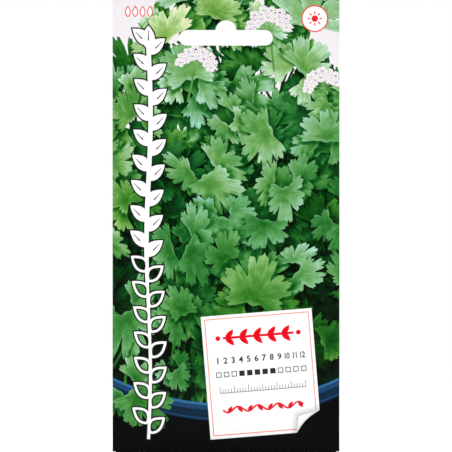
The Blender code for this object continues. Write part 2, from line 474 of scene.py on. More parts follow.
def grow_cluster(u, height, size, hanging, layer_tone):
    """A stalk and the leaflets at its end: three of them, or one large one."""
    lift = np.interp(height, LIFT_HEIGHTS, LIFTS)
    heading = math.atan2(height - FAN_FOOT, u * FAN_WIDTH) + draw.gauss(0, 0.5)
    if draw.random() < hanging:
        heading = -math.pi / 2 + draw.gauss(0, 0.8)
    length = size * draw.uniform(0.7, 1.1)
    warmth = draw.gauss(0, 0.22) + (YELLOWER if draw.random() < YELLOWED else 0)
    tone = layer_tone + lift + draw.gauss(0, 0.05)
    squash = draw.uniform(0.55, 1)
    lean = draw.uniform(0, math.pi)
    end = np.array((u, BOTTOM + height))
    if math.sin(heading) > 0:
        stalks.append((end, heading, length * 1.6, draw.uniform(-2, 2), max(0.34, 0.9 * tone)))
    for turn, out, scale in ONE_LEAF if draw.random() < ALONE else LEAFLETS:
        leaves.append(Leaf(
            end + length * out * towards(heading + turn * 0.9),
            length * scale * 0.95 * draw.uniform(0.9, 1.08),
            heading + turn + draw.gauss(0, 0.15),
            squash * draw.uniform(0.85, 1),
            lean,
            min(tone + draw.gauss(0, 0.03), PALEST),
            float(np.clip(warmth + draw.gauss(0, 0.08), -0.6, 1)),
            draw,
        ))


print("leaflets in a cluster:", len(LEAFLETS), "or", len(ONE_LEAF))

# %% Three layers of clusters
# Each layer's gap between clusters, their size, the share that hangs, and its tone
LAYERS = ((13.0, 16.5, 0.25, 0.1), (13.5, 16.0, 0.4, 0.29), (15.5, 15.0, 0.45, 0.405))
TRIES = 2600
BUSH_SIDE = 44
LOWEST = 31
HIGHEST = 160
CROWN = 158
LEFT_SKY = 30
RIGHT_SKY = 18


def crown(u):
    """Height over the packet's foot where the bush ends and the sky begins, lower in both corners."""
    lower = LEFT_SKY * smoothstep(12, 27, -u) + RIGHT_SKY * smoothstep(20, 38, u)
    return CROWN - lower + 4 * math.sin(u * 0.3)


for gap, size, hanging, layer_tone in LAYERS:
    places = []
    for _ in range(TRIES):
        u = draw.uniform(-BUSH_SIDE, BUSH_SIDE)
        height = draw.uniform(LOWEST, HIGHEST)
        if height > crown(u) + draw.uniform(-7, 2) or draw.random() > 0.08 + smoothstep(26, 80, height):
            continue
        room = gap * (1.7 - 0.7 * smoothstep(28, 85, height))
        if all((u - a) ** 2 + (height - b) ** 2 > room**2 for a, b in places):
            places.append((u, height))
    for u, height in sorted(places, key=lambda place: -place[1]):
        grow_cluster(u, height, size, hanging, layer_tone)
print(len(leaves), "leaves on", len(stalks), "stalks")

# %% [markdown]
# ## Printing the picture
#
# What lies behind is printed first, as in a painting: the ground, which is sky above and deep shade
# below, then long stems that rise from the roots into the crown. The bush stands in a round dark-blue
# pot, of which only the rim shows as a shallow arc with a light upper edge. A modelled pot would add
# nothing here, because on the real packet it is ink too. The stalks and leaves follow in the order in
# which they grew.

# %% Ground and long stems
BLEED = 0.8
EDGE_U = FOLD_X + SIDE_ARC + BLEED
EDGE_V = FLAP_FOOT - BLEED
picture = np.array([(-EDGE_U, TOP), (-EDGE_U, EDGE_V), (EDGE_U, EDGE_V), (EDGE_U, TOP)])
lay(picture, "foliage", covers=True)

STEMS = 17
ROOTS = 20
ROOT_HEIGHT = 16
TIPS = 38
for k in range(STEMS):
    root = (draw.uniform(-ROOTS, ROOTS), BOTTOM + ROOT_HEIGHT)
    tip_u = -TIPS + 2 * TIPS * (k + 0.5) / STEMS + draw.uniform(-3, 3)
    tip = (tip_u, BOTTOM + min(crown(tip_u) + draw.uniform(-20, -6), CROWN))
    bend = draw.uniform(-5, 5)
    t = np.linspace(0, 1, 24)
    path = np.outer(1 - t, root) + np.outer(t, tip)
    path[:, 0] += bend * np.sin(math.pi * t)
    width = 1.5 - 0.8 * t
    tone = draw.uniform(0.42, 0.58)
    lay(ribbon(path, width), "foliage", covers=True, stem=tone - 0.12)
    lay(ribbon(path + (-0.12, 0.05), width * 0.5), "foliage", covers=True, stem=tone)
print(STEMS, "stems")

# %% Pot rim
RIM_MIDDLE = 17.5
RIM_SIDE = 27
RIM_DEPTH = 6.2
t = np.linspace(-EDGE_U, EDGE_U, 60)
rim = BOTTOM + RIM_MIDDLE + (RIM_SIDE - RIM_MIDDLE) * (t / EDGE_U) ** 2
pot = np.concatenate([np.stack([t, rim], 1), [(EDGE_U, EDGE_V), (-EDGE_U, EDGE_V)]])
lay(pot, "pot shade", covers=True)
# How far below the rim's edge each band starts, its depth and its ink
RIM_BANDS = (
    (0, RIM_DEPTH, "pot rim"),
    (0, 0.9, "pot rim light"),
    (0.9, 1.6, "pot rim mid"),
    (RIM_DEPTH - 0.9, 0.5, "pot rim mid"),
)
for drop, depth, ink in RIM_BANDS:
    lay(ribbon(np.stack([t, rim - drop - depth / 2], 1), depth), ink)
print("the rim dips", RIM_SIDE - RIM_MIDDLE, "mm in the middle")

# %% Stalks and leaves
t = np.linspace(0, 1, 9)
for end, heading, length, bend, tone in stalks:
    path = end + np.outer((t - 1) * length, towards(heading))
    path += np.outer(bend * np.sin(math.pi * t), towards(heading + 1.6))
    lay(ribbon(path, np.linspace(1.2, 0.8, len(t))), "foliage", covers=True, stem=tone)
for leaf in leaves:
    lay(leaf.outline(), "foliage", covers=True, leaf=leaf)
print(len(sheet), "shapes in the picture")

# %% [markdown]
# ## Flower heads
#
# The herb's own flowers, flat heads of tiny white florets on thin rays, stand over the crown. Each floret
# could be drawn alone, but a head is only an outer and an inner fan of rays, and each ray ends in a small
# bunch of five-petalled florets, so two loops draw it. A floret is three flat shapes: its grey edge, its
# petals and its heart.

# %% Umbels
# Each head's place across, its height over the packet's foot, its heading in degrees and its size
UMBELS = ((15.5, 148.5, 96, 8.8), (-11, 135.5, 78, 7.6), (34.5, 128.5, 104, 7.0))
OUTER_RAYS = [(22 * (k - 3.5), 1 - 0.02 * (k - 3.5) ** 2) for k in range(8)]
INNER_RAYS = [(26 * (k - 2), 0.66) for k in range(5)]
PETALS = 5
FLORETS = 5


def floret(middle, radius, turn):
    turns = np.linspace(0, 2 * math.pi, 4 * PETALS, endpoint=False)
    reach = radius * (0.62 + 0.38 * np.abs(np.sin(turns * PETALS / 2)))
    return np.stack([reach * np.cos(turns + turn), reach * np.sin(turns + turn) * 0.85], 1) + middle


for u, height, heading, size in UMBELS:
    foot = np.array((u, BOTTOM + height))
    stalk = np.stack([foot - turned((size * 1.6, 0), heading) * (1 - t) for t in np.linspace(0, 1, 6)])
    lay(ribbon(stalk, 0.75), "foliage", covers=True, stem=0.5)
    tips = []
    for spread, share in OUTER_RAYS + INNER_RAYS:
        reach = size * share * draw.uniform(0.92, 1.06)
        tip = foot + turned((reach, 0), heading + spread + draw.uniform(-4, 4)) * (1, 0.86)
        ray = np.stack([foot, (foot + tip) / 2 + turned((0, spread / 90), heading + spread), tip])
        lay(ribbon(ray, 0.3), "foliage", covers=True, stem=0.55)
        tips.append(tip)
    for tip in sorted(tips, key=lambda spot: -spot[1]):
        for j in range(FLORETS):
            place = tip + turned((1.25, 0), 72 * j + draw.uniform(-12, 12)) * (1, 0.75)
            turn = draw.uniform(0, 2)
            lay(floret(place, 1.05, turn), "petal edge", covers=True)
            lay(floret(place, 0.86, turn), "petal")
            lay(disc(place, 0.24, 8), "petal heart")
print(len(sheet), "shapes with the flowers")

# %% [markdown]
# ## Leaves over the rim
#
# The lowest leaves of a full pot hang out over its rim, and they tie the bush to the pot. The layers above
# could reach down that far, but each random draw after that would change, and the whole bush with it. So
# two small clusters are grown last, by the same function but with a seed of their own.

# %% Leaves over the pot's rim
OVERHANG_SEED = 14
# Each cluster's place across, its height over the packet's foot and its size
OVERHANG = ((-35.5, 24, 13), (-19, 31, 9))
OVERHANG_TONE = 0.45
HANGING_STALK = 15
draw = random.Random(OVERHANG_SEED)
inside_pot = len(leaves)
t = np.linspace(0, 1, 9)
for u, height, size in OVERHANG:
    path = np.stack([u + 3 * (1 - t) ** 2, BOTTOM + height + HANGING_STALK * (1 - t)], 1)
    lay(ribbon(path, 0.9), "foliage", covers=True, stem=0.38)
    grow_cluster(u, height, size, hanging=1, layer_tone=OVERHANG_TONE)
for leaf in leaves[inside_pot:]:
    lay(leaf.outline(), "foliage", covers=True, leaf=leaf)
print(len(leaves) - inside_pot, "leaves hang over the rim")

# %% [markdown]
# ## The climbing sprig
#
# A white sprig with a thin black contour climbs the left edge. Its upper leaves are solid and its lower
# ones are open loops that show the picture. The parts could be joined into one outline, but there is a
# shorter way: all black outlines are laid before any white, so the parts run into each other under one
# contour, as in a cut-paper ornament.

# %% The sprig's outlines
SPRIG_U = -27.3
SPRIG_FOOT = -147.6
SPRIG_TOP = -2.6
SOLID_FROM = -88
CONTOUR = 0.48
PAIR_GAP = 8.9
BLADE_LENGTH = 8.0
BLADE_WIDTH = 4.5
BLADE_TURN = 44
BLADE_BOW = 0.07
first_sprig = len(sheet)
sprig = []
loops = []
pairs = int((SPRIG_TOP - 9 - SPRIG_FOOT) / PAIR_GAP)
t = np.linspace(0, 1, 90)
stem = np.stack([SPRIG_U + 0.7 * np.sin(t * 9.5), SPRIG_FOOT + t * (SPRIG_TOP - 7 - SPRIG_FOOT)], 1)
sprig.append(ribbon(stem, 1.05 + 0.55 * smoothstep(0.35, 0.5, t)))
for k in range(pairs + 1):
    z = SPRIG_FOOT + 2 + k * PAIR_GAP
    foot_u = np.interp(z, stem[:, 1], stem[:, 0])
    for side in (1, -1):
        heading = 90 - side * BLADE_TURN
        foot = (foot_u + side * 0.2, z + (PAIR_GAP / 2.6 if side < 0 else 0))
        if z < SOLID_FROM:
            loops.append((foot, heading, side))
        else:
            sprig.append(blade(foot, heading, BLADE_LENGTH, BLADE_WIDTH, bow=side * BLADE_BOW))
sprig.append(blade((stem[-1, 0], stem[-1, 1] - 0.6), 90, 8.4, 4.6))
print("sprig of", len(sprig) - 1, "solid leaves and", len(loops), "loops")

# %% The sprig's inks
LOOP_BAND = 0.85
LOOP_WIDTH = 5.0
outer = [
    blade(foot, heading, BLADE_LENGTH, LOOP_WIDTH, bow=side * BLADE_BOW, steps=13)
    for foot, heading, side in loops
]
for outline in sprig + outer:
    lay(grown(outline, CONTOUR), "black")
for outline in sprig + outer:
    lay(outline, "white")
for outline in outer:
    lay(grown(outline, -LOOP_BAND), "black")
    lay(grown(outline, -LOOP_BAND - CONTOUR), "window")
for outline in sprig[1:]:
    tip = outline[BLADE_STEPS - 1]
    foot = outline[0]
    lay(ribbon([foot * 0.62 + tip * 0.38, foot * 0.2 + tip * 0.8], (0.45, 0.16)), "black")
first_over_sprig = len(sheet)
print(first_over_sprig - first_sprig, "shapes in the sprig")

# %% [markdown]
# ## The drops and the sun
#
# Four small red-lined drops stand at the top left, and a white disc in a red ring at the top right
# carries a sun: water and light, in a gardener's signs. They are flat single-colour marks, so the pens
# are enough.

# %% Drops
DROPS_U = (-34.6, -32.0, -29.4, -26.8)
DROPS_V = 2.2
for u in DROPS_U:
    drop = blade((u, DROPS_V - 0.9), 90, 3.7, 1.8, steps=13)
    lay(grown(drop, 0.16), "pink red", covers=True)
    lay(grown(drop, -0.2), "white")
print(len(DROPS_U), "drops")

# %% Sun
BADGE = (31.3, 0.63)
BADGE_RADIUS = 4.75
BADGE_RING = 0.42
SUN_RADIUS = 1.15
SUN_RAYS = 8
RAY_ENDS = (1.65, 2.65)
lay(disc(BADGE, BADGE_RADIUS, 64), "signal red", covers=True)
lay(disc(BADGE, BADGE_RADIUS - BADGE_RING, 64), "white")
lay(disc(BADGE, SUN_RADIUS, 32), "signal red")
for k in range(SUN_RAYS):
    ray = [np.array(BADGE) + turned((r, 0), 360 / SUN_RAYS * k) for r in RAY_ENDS]
    lay(ribbon(ray, (0.55, 0.3)), "signal red")
print("badge", 2 * BADGE_RADIUS, "mm across")

# %% [markdown]
# ## The label card
#
# A white card lies askew over the foot of the picture, with a thin salmon line inside its edge and its
# lower right corner curled up. A real card could be modelled, but this one is only printed, and so is its
# curl: a pale triangle with a grey gradient, and a soft shade beside it. Everything on the card is
# measured from its upper left corner, right and down, and one function turns such places into places on
# the sheet.

# %% Places and shades on the card
CARD_PLACE = (-8.9, -104.5)
CARD_TILT = 4.6
CARD_WIDTH = 39.1
CARD_HEIGHT = 43.4
CURL_RIGHT = (39.1, 36.1)
CURL_FOOT = (30.5, 43.4)
CURL_TIP = (31.6, 37.6)


def on_card(points):
    """From millimetres right of and below the card's corner to the flat sheet."""
    return turned(np.asarray(points, float) * (1, -1), CARD_TILT) + CARD_PLACE


def from_card(points):
    return turned(np.asarray(points, float) - CARD_PLACE, -CARD_TILT) * (1, -1)


def distance_to(points, start, end):
    """Distance from points to a straight piece of line."""
    start, end = np.array(start, float), np.array(end, float)
    t = np.clip((points - start) @ (end - start) / ((end - start) @ (end - start)), 0, 1)
    return np.linalg.norm(points - start - t[:, None] * (end - start), axis=1)


def card_shade(points):
    """Grey of the card beside the curl."""
    place = from_card(points)
    away = np.minimum(distance_to(place, CURL_RIGHT, CURL_TIP), distance_to(place, CURL_TIP, CURL_FOOT))
    return 1 - 0.34 * np.exp(-((away / 1.5) ** 2))


def curl_shade(points):
    """The curl is greyest where the corner turns over, and whitest towards its tip."""
    place = from_card(points)
    away = distance_to(place, CURL_RIGHT, CURL_FOOT)
    return 0.76 + 0.24 * smoothstep(0.3, 2.6, away)


print(f"card {CARD_WIDTH} x {CARD_HEIGHT} mm, tilted {CARD_TILT} degrees")

# %% The card, its border and its curl
BORDER_INSET = 1.25
BORDER_LINE = 0.33
CURL_SAG = -0.08
curl_start, curl_end = np.array(CURL_RIGHT), np.array(CURL_FOOT)
t = np.linspace(0, 1, 11)[:, None]
curl_side = (curl_end - curl_start)[::-1] * (1, -1)
turned_edge = curl_start + t * (curl_end - curl_start) + curl_side * CURL_SAG * np.sin(math.pi * t)
card_edge = np.concatenate([[(0, 0), (CARD_WIDTH, 0)], turned_edge, [(0, CARD_HEIGHT)]])
lay(on_card(card_edge)[::-1], "white", covers=True, shade=card_shade)

border_right = CARD_WIDTH - BORDER_INSET
border_foot = CARD_HEIGHT - BORDER_INSET
border = [
    (border_right, CURL_RIGHT[1] - 0.5),
    (border_right, BORDER_INSET),
    (BORDER_INSET, BORDER_INSET),
    (BORDER_INSET, border_foot),
    (CURL_FOOT[0] + 0.1, border_foot),
]
for a, b in zip(border, border[1:]):
    line = np.array([a, b], float)
    line += (line - line[::-1]) / np.linalg.norm(line[0] - line[1]) * BORDER_LINE / 2
    lay(on_card(ribbon(line, BORDER_LINE)), "salmon", shade=card_shade)
lay(on_card(np.concatenate([turned_edge, [CURL_TIP]])), "white", covers=True, shade=curl_shade)
print("lines in the border:", len(border) - 1)

# %% [markdown]
# ## Plain figures
#
# Month numbers stand on the card and on the back. They could be drawn by hand, but Blender's own plain
# figures look better: a text object is turned into a mesh, and the boundary of the mesh is walked to give
# closed outlines. The outlines that run the other way round are the holes in 4, 6, 8, 9 and 0.

# %% A number as a flat mesh
BOLD = 0.026
FIGURE_GAP = 0.86


def in_scene(name, data):
    made = bpy.data.objects.new(name, data)
    bpy.context.scene.collection.objects.link(made)
    return made


def evaluated_mesh(piece):
    """A piece as a plain mesh, with its curves and modifiers worked out."""
    piece.update_tag()
    bpy.context.view_layer.update()
    return bpy.data.meshes.new_from_object(piece.evaluated_get(bpy.context.evaluated_depsgraph_get()))


def number_mesh(number):
    curve = bpy.data.curves.new("number", "FONT")
    curve.body = str(number)
    curve.resolution_u = 3
    curve.offset = BOLD
    curve.space_character = FIGURE_GAP
    figure = in_scene("number", curve)
    flat = evaluated_mesh(figure)
    shape = bmesh.new()
    shape.from_mesh(flat)
    bmesh.ops.remove_doubles(shape, verts=shape.verts, dist=1e-5)
    bpy.data.objects.remove(figure)
    bpy.data.curves.remove(curve)
    bpy.data.meshes.remove(flat)
    return shape


print("points in the number 8:", len(number_mesh(8).verts))

# %% Outlines of the numbers
def number_outlines(number):
    """Outlines of a number 1 mm tall with its middle at the origin, and whether each is a hole."""
    shape = number_mesh(number)
    following = {}
    for edge in shape.edges:
        if len(edge.link_loops) == 1:
            loop = edge.link_loops[0]
            following[loop.vert] = loop.link_loop_next.vert
    outlines = []
    while following:
        start, vert = following.popitem()
        walk = [start]
        while vert is not start:
            walk.append(vert)
            vert = following.pop(vert)
        outlines.append(np.array([v.co.xy[:] for v in walk]))
    shape.free()
    everything = np.concatenate(outlines)
    low_corner, high_corner = everything.min(0), everything.max(0)
    scale = 1 / (high_corner - low_corner)[1]
    made = []
    for outline in outlines:
        nxt = np.roll(outline, -1, 0)
        area = (outline[:, 0] * nxt[:, 1] - outline[:, 1] * nxt[:, 0]).sum()
        made.append(((outline - (low_corner + high_corner) / 2) * scale, area < 0))
    return sorted(made, key=lambda piece: piece[1])


figures = {number: number_outlines(number) for number in range(1, 13)}
print("outlines in the number 8:", len(figures[8]))

# %% [markdown]
# ## What the card carries
#
# The card is a small gardener's calendar of plain signs: a red sprig for a heading, the twelve months
# with the sowing months filled in below them, a grey ruler, and a red wave with a leaf at each turn.
# Every row repeats one mark, so every row is a loop.

# %% The card's heading
HEADING_Y = 8.1
HEADING_START = 7.2
HEADING_LENGTH = 24.8
HEADING_PAIRS = 5
HEADING_BLADE = 4.1
HEADING_LINE = 0.85
line = [(HEADING_START, HEADING_Y), (HEADING_START + HEADING_LENGTH, HEADING_Y)]
lay(on_card(ribbon(line, HEADING_LINE)), "heading red")
for k in range(HEADING_PAIRS):
    x = HEADING_START + (k + 0.5) * HEADING_LENGTH / HEADING_PAIRS - HEADING_BLADE * 0.4
    for side in (1, -1):
        turn = side * BLADE_TURN
        outline = blade((x, HEADING_Y), turn, HEADING_BLADE, HEADING_BLADE * 0.46, bow=-0.06 * side)
        lay(on_card(outline), "heading red")
for x in (HEADING_START - 1.8, HEADING_START + HEADING_LENGTH + 1.8):
    lay(on_card(disc((x, HEADING_Y), HEADING_LINE, 20)), "heading red")
print(HEADING_PAIRS, "pairs of blades in the heading")

# %% Twelve months
MONTHS_Y = 16.0
MONTHS_MIDDLE = 19.7
MONTH_STEP = 2.72
MONTH_TALL = 2.2
NARROW = 0.8
CELLS_Y = 20.9
CELL = 1.9
CELL_HOLE = 0.7
SOWING = (4, 5, 6, 7, 8)
for month in range(1, 13):
    x = MONTHS_MIDDLE + (month - 6.5) * MONTH_STEP
    squeeze = (NARROW if month > 9 else 1, -1)
    for outline, hole in figures[month]:
        lay(on_card(outline * MONTH_TALL * squeeze + (x, MONTHS_Y)), "white" if hole else "figure grey")
    box = np.array([(-1, -1), (1, -1), (1, 1), (-1, 1)]) * CELL / 2
    lay(on_card(box + (x, CELLS_Y)), "figure grey")
    if month not in SOWING:
        lay(on_card(box * CELL_HOLE + (x, CELLS_Y)), "white")
print(len(SOWING), "months for sowing")

# %% Ruler and wave
RULER_Y = 27.4
RULER_START = 4.75
RULER_LENGTH = 30.1
RULER_PARTS = 30
LONG_MARK = 2.4
SHORT_MARK = 1.4
line = [(RULER_START - 0.15, RULER_Y), (RULER_START + RULER_LENGTH + 0.15, RULER_Y)]
lay(on_card(ribbon(line, 0.26)), "rule grey")
for k in range(RULER_PARTS + 1):
    x = RULER_START + k * RULER_LENGTH / RULER_PARTS
    tall = LONG_MARK if k % 5 == 0 else SHORT_MARK
    lay(on_card(ribbon([(x, RULER_Y), (x, RULER_Y - tall)], 0.24)), "rule grey")

WAVE_Y = 33.4
WAVE_START = 5.2
WAVE_LENGTH = 28.4
WAVES = 8
SWING = 0.95
t = np.linspace(0, 1, 81)
wave = np.stack([WAVE_START + WAVE_LENGTH * t, WAVE_Y + SWING * np.sin(t * WAVES * math.pi)], 1)
lay(on_card(ribbon(wave, 0.62)), "wave red")
for k in range(WAVES):
    x = WAVE_START + WAVE_LENGTH * (k + 0.5) / WAVES
    side = -1 if k % 2 else 1
    lay(on_card(blade((x, WAVE_Y + side), side * -54, 2.7, 1.35)), "wave red")
print(len(sheet), "shapes on the front")

# %% [markdown]
# ## The back of the sheet
#
# The back panel is white with a pale green strip at the head. It holds a sowing calendar, a small drawing
# of how deep and how far apart to sow, and dotted lines for the gardener's own notes. It could be a sheet
# of its own, but on a real packet it is the same paper. So everything is drawn as it is read from behind,
# measured across from the middle of the panel.

# %% The strip and the sowing calendar
CALENDAR_TOP = -34
CALENDAR_STEP = 5.2
CALENDAR_ROW = 4.4
# Each bar's ink and its first month, and the month at whose start it ends
CALENDAR_BARS = (("leaf green", 3, 8), ("earth", 4, 9), ("heading red", 6, 11))
BAR_HALF = 1.1
BAR_INSET = 0.5
GRID_LINE = 0.16
FIGURE_TALL = 2
FIGURE_RAISE = 2.4
SEAM = TOP - HEADER


def on_back(points):
    return np.asarray(points, float) + (BACK_MIDDLE, 0)


def panel_box(left, right, foot, top):
    return on_back([(left, foot), (right, foot), (right, top), (left, top)])


for foot, top, ink in ((0.2, 3.4, "tint green"), (-0.9, -0.4, "leaf green")):
    lay(panel_box(-FOLD_X, FOLD_X - BLEED, SEAM + foot, SEAM + top), ink)
left = -6 * CALENDAR_STEP
for month in range(1, 13):
    x = left + (month - 0.5) * CALENDAR_STEP
    for outline, hole in figures[month]:
        place = (x, CALENDAR_TOP + FIGURE_RAISE)
        lay(on_back(outline * FIGURE_TALL + place), "paper white" if hole else "figure grey")
for row, (ink, start, end) in enumerate(CALENDAR_BARS):
    z = CALENDAR_TOP - (row + 0.5) * CALENDAR_ROW
    bar = (left + (start - 1) * CALENDAR_STEP + BAR_INSET, left + (end - 1) * CALENDAR_STEP - BAR_INSET)
    lay(panel_box(*bar, z - BAR_HALF, z + BAR_HALF), ink)
for column in range(13):
    x = left + column * CALENDAR_STEP
    upright = [(x, CALENDAR_TOP - len(CALENDAR_BARS) * CALENDAR_ROW), (x, CALENDAR_TOP)]
    lay(on_back(ribbon(upright, GRID_LINE)), "rule grey")
for row in range(len(CALENDAR_BARS) + 1):
    z = CALENDAR_TOP - row * CALENDAR_ROW
    lay(on_back(ribbon([(left, z), (-left, z)], GRID_LINE)), "rule grey")
print(len(CALENDAR_BARS), "bars in the calendar")

# %% How to sow, and lines for notes
SOIL_Z = -72
SOIL_HALF = 31
SOIL_DEPTH = 11
SOWN = (-21, -7, 7, 21)
SOWN_DEPTH = 4.6
SPAN_DEPTH = 8.6
LEAF_STEP = 3.2
NOTES_Z = -93
NOTE_GAP = 7
NOTE_LINES = 4
NOTE_DOTS = 32
lay(panel_box(-SOIL_HALF, SOIL_HALF, SOIL_Z - SOIL_DEPTH, SOIL_Z), "earth tint")
lay(on_back(ribbon([(-SOIL_HALF, SOIL_Z), (SOIL_HALF, SOIL_Z)], 0.5)), "earth")
for k, x in enumerate(SOWN):
    lay(on_back(disc((x, SOIL_Z - SOWN_DEPTH), 1.05, 14)), "earth")
    lay(on_back(ribbon([(x, SOIL_Z - 3.8), (x, SOIL_Z + 4 + LEAF_STEP * k)], 0.55)), "leaf green")
    for j in range(k + 1):
        for side in (1, -1):
            foot = (x, SOIL_Z + 2.2 + LEAF_STEP * j)
            lay(on_back(blade(foot, 90 - side * 55, 5.2, 2.2, bow=0.06 * side)), "leaf green")
span = [(x, SOIL_Z - SPAN_DEPTH) for x in SOWN[:2]]
lay(on_back(ribbon(span, 0.3)), "figure grey")
for end, heading in zip(span, (0, 180)):
    lay(on_back(blade(end, heading, 1.7, 1.0, steps=7)), "figure grey")

for row in range(NOTE_LINES):
    for k in range(NOTE_DOTS):
        lay(on_back(disc((2 * k - SOIL_HALF, NOTES_Z - NOTE_GAP * row), 0.24, 8)), "rule grey")
print(len(sheet), "shapes on the whole sheet")

# %% [markdown]
# ## Cutting the sheet into triangles
#
# Each printed shape could be a thin mesh of its own, laid on the paper, but the layers would flicker
# where they nearly touch. Here the print is part of the sheet. A constrained Delaunay triangulation takes
# points and edges and gives triangles that keep every edge. It gets the blank's edge, the slots, the
# lines along the folds, and of each printed outline the stretches that no later shape hides. Points
# strewn between them let the paper bend: closer on the front, where the picture needs them for its
# shading, and wider on the back.

# %% Points and edges to cut along
CUT_TOLERANCE = 1e-5
EVERY_TRIANGLE = 0


def stepped(outline, step, closed=True):
    """An outline with extra points, so that no stretch is longer than a step."""
    ends = np.roll(outline, -1, 0) if closed else outline[1:]
    made = []
    for a, b in zip(outline, ends):
        count = max(1, math.ceil(np.linalg.norm(b - a) / step - 1e-6))
        made.extend(a + (b - a) * k / count for k in range(count))
    if not closed:
        made.append(outline[-1])
    return np.array(made)


class Cutting:
    """Points and edges that the sheet is cut along."""

    def __init__(self):
        self.points = []
        self.edges = []
        self.count = 0

    def add(self, points, closed=True, keep=None):
        """Adds a run of points, with the edges between them or only those to keep."""
        n = len(points)
        edges = [(self.count + i, self.count + (i + 1) % n) for i in range(n if closed else n - 1)]
        if keep is not None:
            edges = [edge for edge, kept in zip(edges, keep) if kept]
            used = sorted({i for edge in edges for i in edge})
            place = {i: self.count + k for k, i in enumerate(used)}
            points = points[[i - self.count for i in used]]
            edges = [(place[a], place[b]) for a, b in edges]
        self.points.append(points)
        self.edges.extend(edges)
        self.count += len(points)

    def strew(self, low_corner, high_corner, gap):
        """Loose points on a honeycomb grid."""
        rows = np.arange(low_corner[1] + gap / 2, high_corner[1], gap * math.sqrt(0.75))
        columns = np.arange(low_corner[0] + gap / 2, high_corner[0] - gap / 2, gap)
        for k, z in enumerate(rows):
            self.points.append(np.stack([columns + (gap / 2 if k % 2 else 0), np.full(len(columns), z)], 1))
        self.count += len(rows) * len(columns)

    def triangles(self):
        spots = [Vector(p) for p in np.concatenate(self.points)]
        cut = geometry.delaunay_2d_cdt(spots, self.edges, [], EVERY_TRIANGLE, CUT_TOLERANCE, False)
        verts, faces = cut[0], cut[2]
        return np.array([p[:] for p in verts]), np.array(faces)


print("a 10 mm line in 3 mm steps:", len(stepped(np.array([(0, 0), (10, 0)]), 3, closed=False)), "points")

# %% The lines along the folds
FOLD_STEPS = 6
FOOT_STEPS = 8


def fold_lines(step):
    """Lines across which the paper turns, as runs of points."""
    ends = []
    for k in range(FOLD_STEPS + 1):
        u = FOLD_X + SIDE_ARC * k / FOLD_STEPS
        ends += [((side * u, FOLD_Z), (side * u, TOP)) for side in (-1, 1)]
    for k in range(FOOT_STEPS + 1):
        v = FOLD_Z - FOOT_ARC * k / FOOT_STEPS
        ends.append(((-FLAP_X, v), (FLAP_X, v)))
    return [stepped(np.array(line), step, closed=False) for line in ends]


print(len(fold_lines(1)), "lines along the folds")

# %% Gather what shows of the print
FRONT_GAP = 0.8
BACK_GAP = 1.9
EDGE_STEP = 1.1
cutting = Cutting()
cutting.add(stepped(blank, EDGE_STEP))
cutting.add(front_slot)
cutting.add(back_slot)
for line in fold_lines(EDGE_STEP):
    cutting.add(line, closed=False)
covering = [k for k, shape in enumerate(sheet) if shape.covers]
visible = 0
for k, shape in enumerate(sheet):
    points = stepped(shape.outline, EDGE_STEP)
    hidden = np.zeros(len(points), bool)
    for j in covering:
        over = sheet[j]
        if j > k and (over.low < shape.high).all() and (over.high > shape.low).all():
            hidden |= over.holds(points)
    keep = ~(hidden & np.roll(hidden, -1))
    visible += int(keep.sum())
    if keep.any():
        cutting.add(points, keep=keep)
cutting.strew((-EDGE_U, EDGE_V), (EDGE_U, TOP), FRONT_GAP)
cutting.strew((BACK_U, FOLD_Z), (-EDGE_U, TOP), BACK_GAP)
cutting.strew((EDGE_U, FOLD_Z), (TAB_U, TOP), BACK_GAP)
cutting.strew((-FLAP_X, FLAP_FOOT - FLAP_HEIGHT), (FLAP_X, EDGE_V), BACK_GAP)
print(visible, "edges of the print show;", cutting.count, "points in all")

# %% Cut the sheet
TINY = 1e-7


def blank_holds(points):
    """Which points are on the paper, off its slots."""
    paper = Shape(blank, "paper", True, {}).holds(points)
    for slot in (front_slot, back_slot):
        paper &= ~Shape(slot, "hole", True, {}).holds(points)
    return paper


def on_paper(spots, faces):
    """The triangles that lie on the paper, all wound the same way."""
    a, b, c = (spots[faces[:, k]] for k in range(3))
    area = np.cross(b - a, c - a)
    faces = np.where((area < 0)[:, None], faces[:, ::-1], faces)
    return faces[(np.abs(area) > TINY) & blank_holds((a + b + c) / 3)]


spots, faces = cutting.triangles()
faces = on_paper(spots, faces)
print(len(faces), "triangles on the printed side")

# %% Find which shape shows in each triangle
middles = spots[faces].mean(1)
shown = np.full(len(faces), -1)
beneath = np.full(len(faces), -1)
on_picture = sheet[0].holds(middles)
for k, shape in enumerate(sheet):
    held = shape.holds(middles)
    if shape.covers:
        held &= on_picture
    if shape.ink == "window":
        shown[held] = beneath[held]
        continue
    shown[held] = k
    if not first_sprig <= k < first_over_sprig:
        beneath[held] = k
print(int((shown < 0).sum()), "of them stay bare")

# %% [markdown]
# ## Light and shade in the picture
#
# Each corner of each triangle gets a tone from 0, black, to 1, sky. A leaf is paler towards its teeth and
# darker at its stalk, it has a light and a dark side, and the leaves over it cast a soft shade on it. The
# material later turns tones into greens with one colour ramp, and draws the veins from three more values:
# the distance from the lobe's middle line, the distance from the stalk and the angle round it.

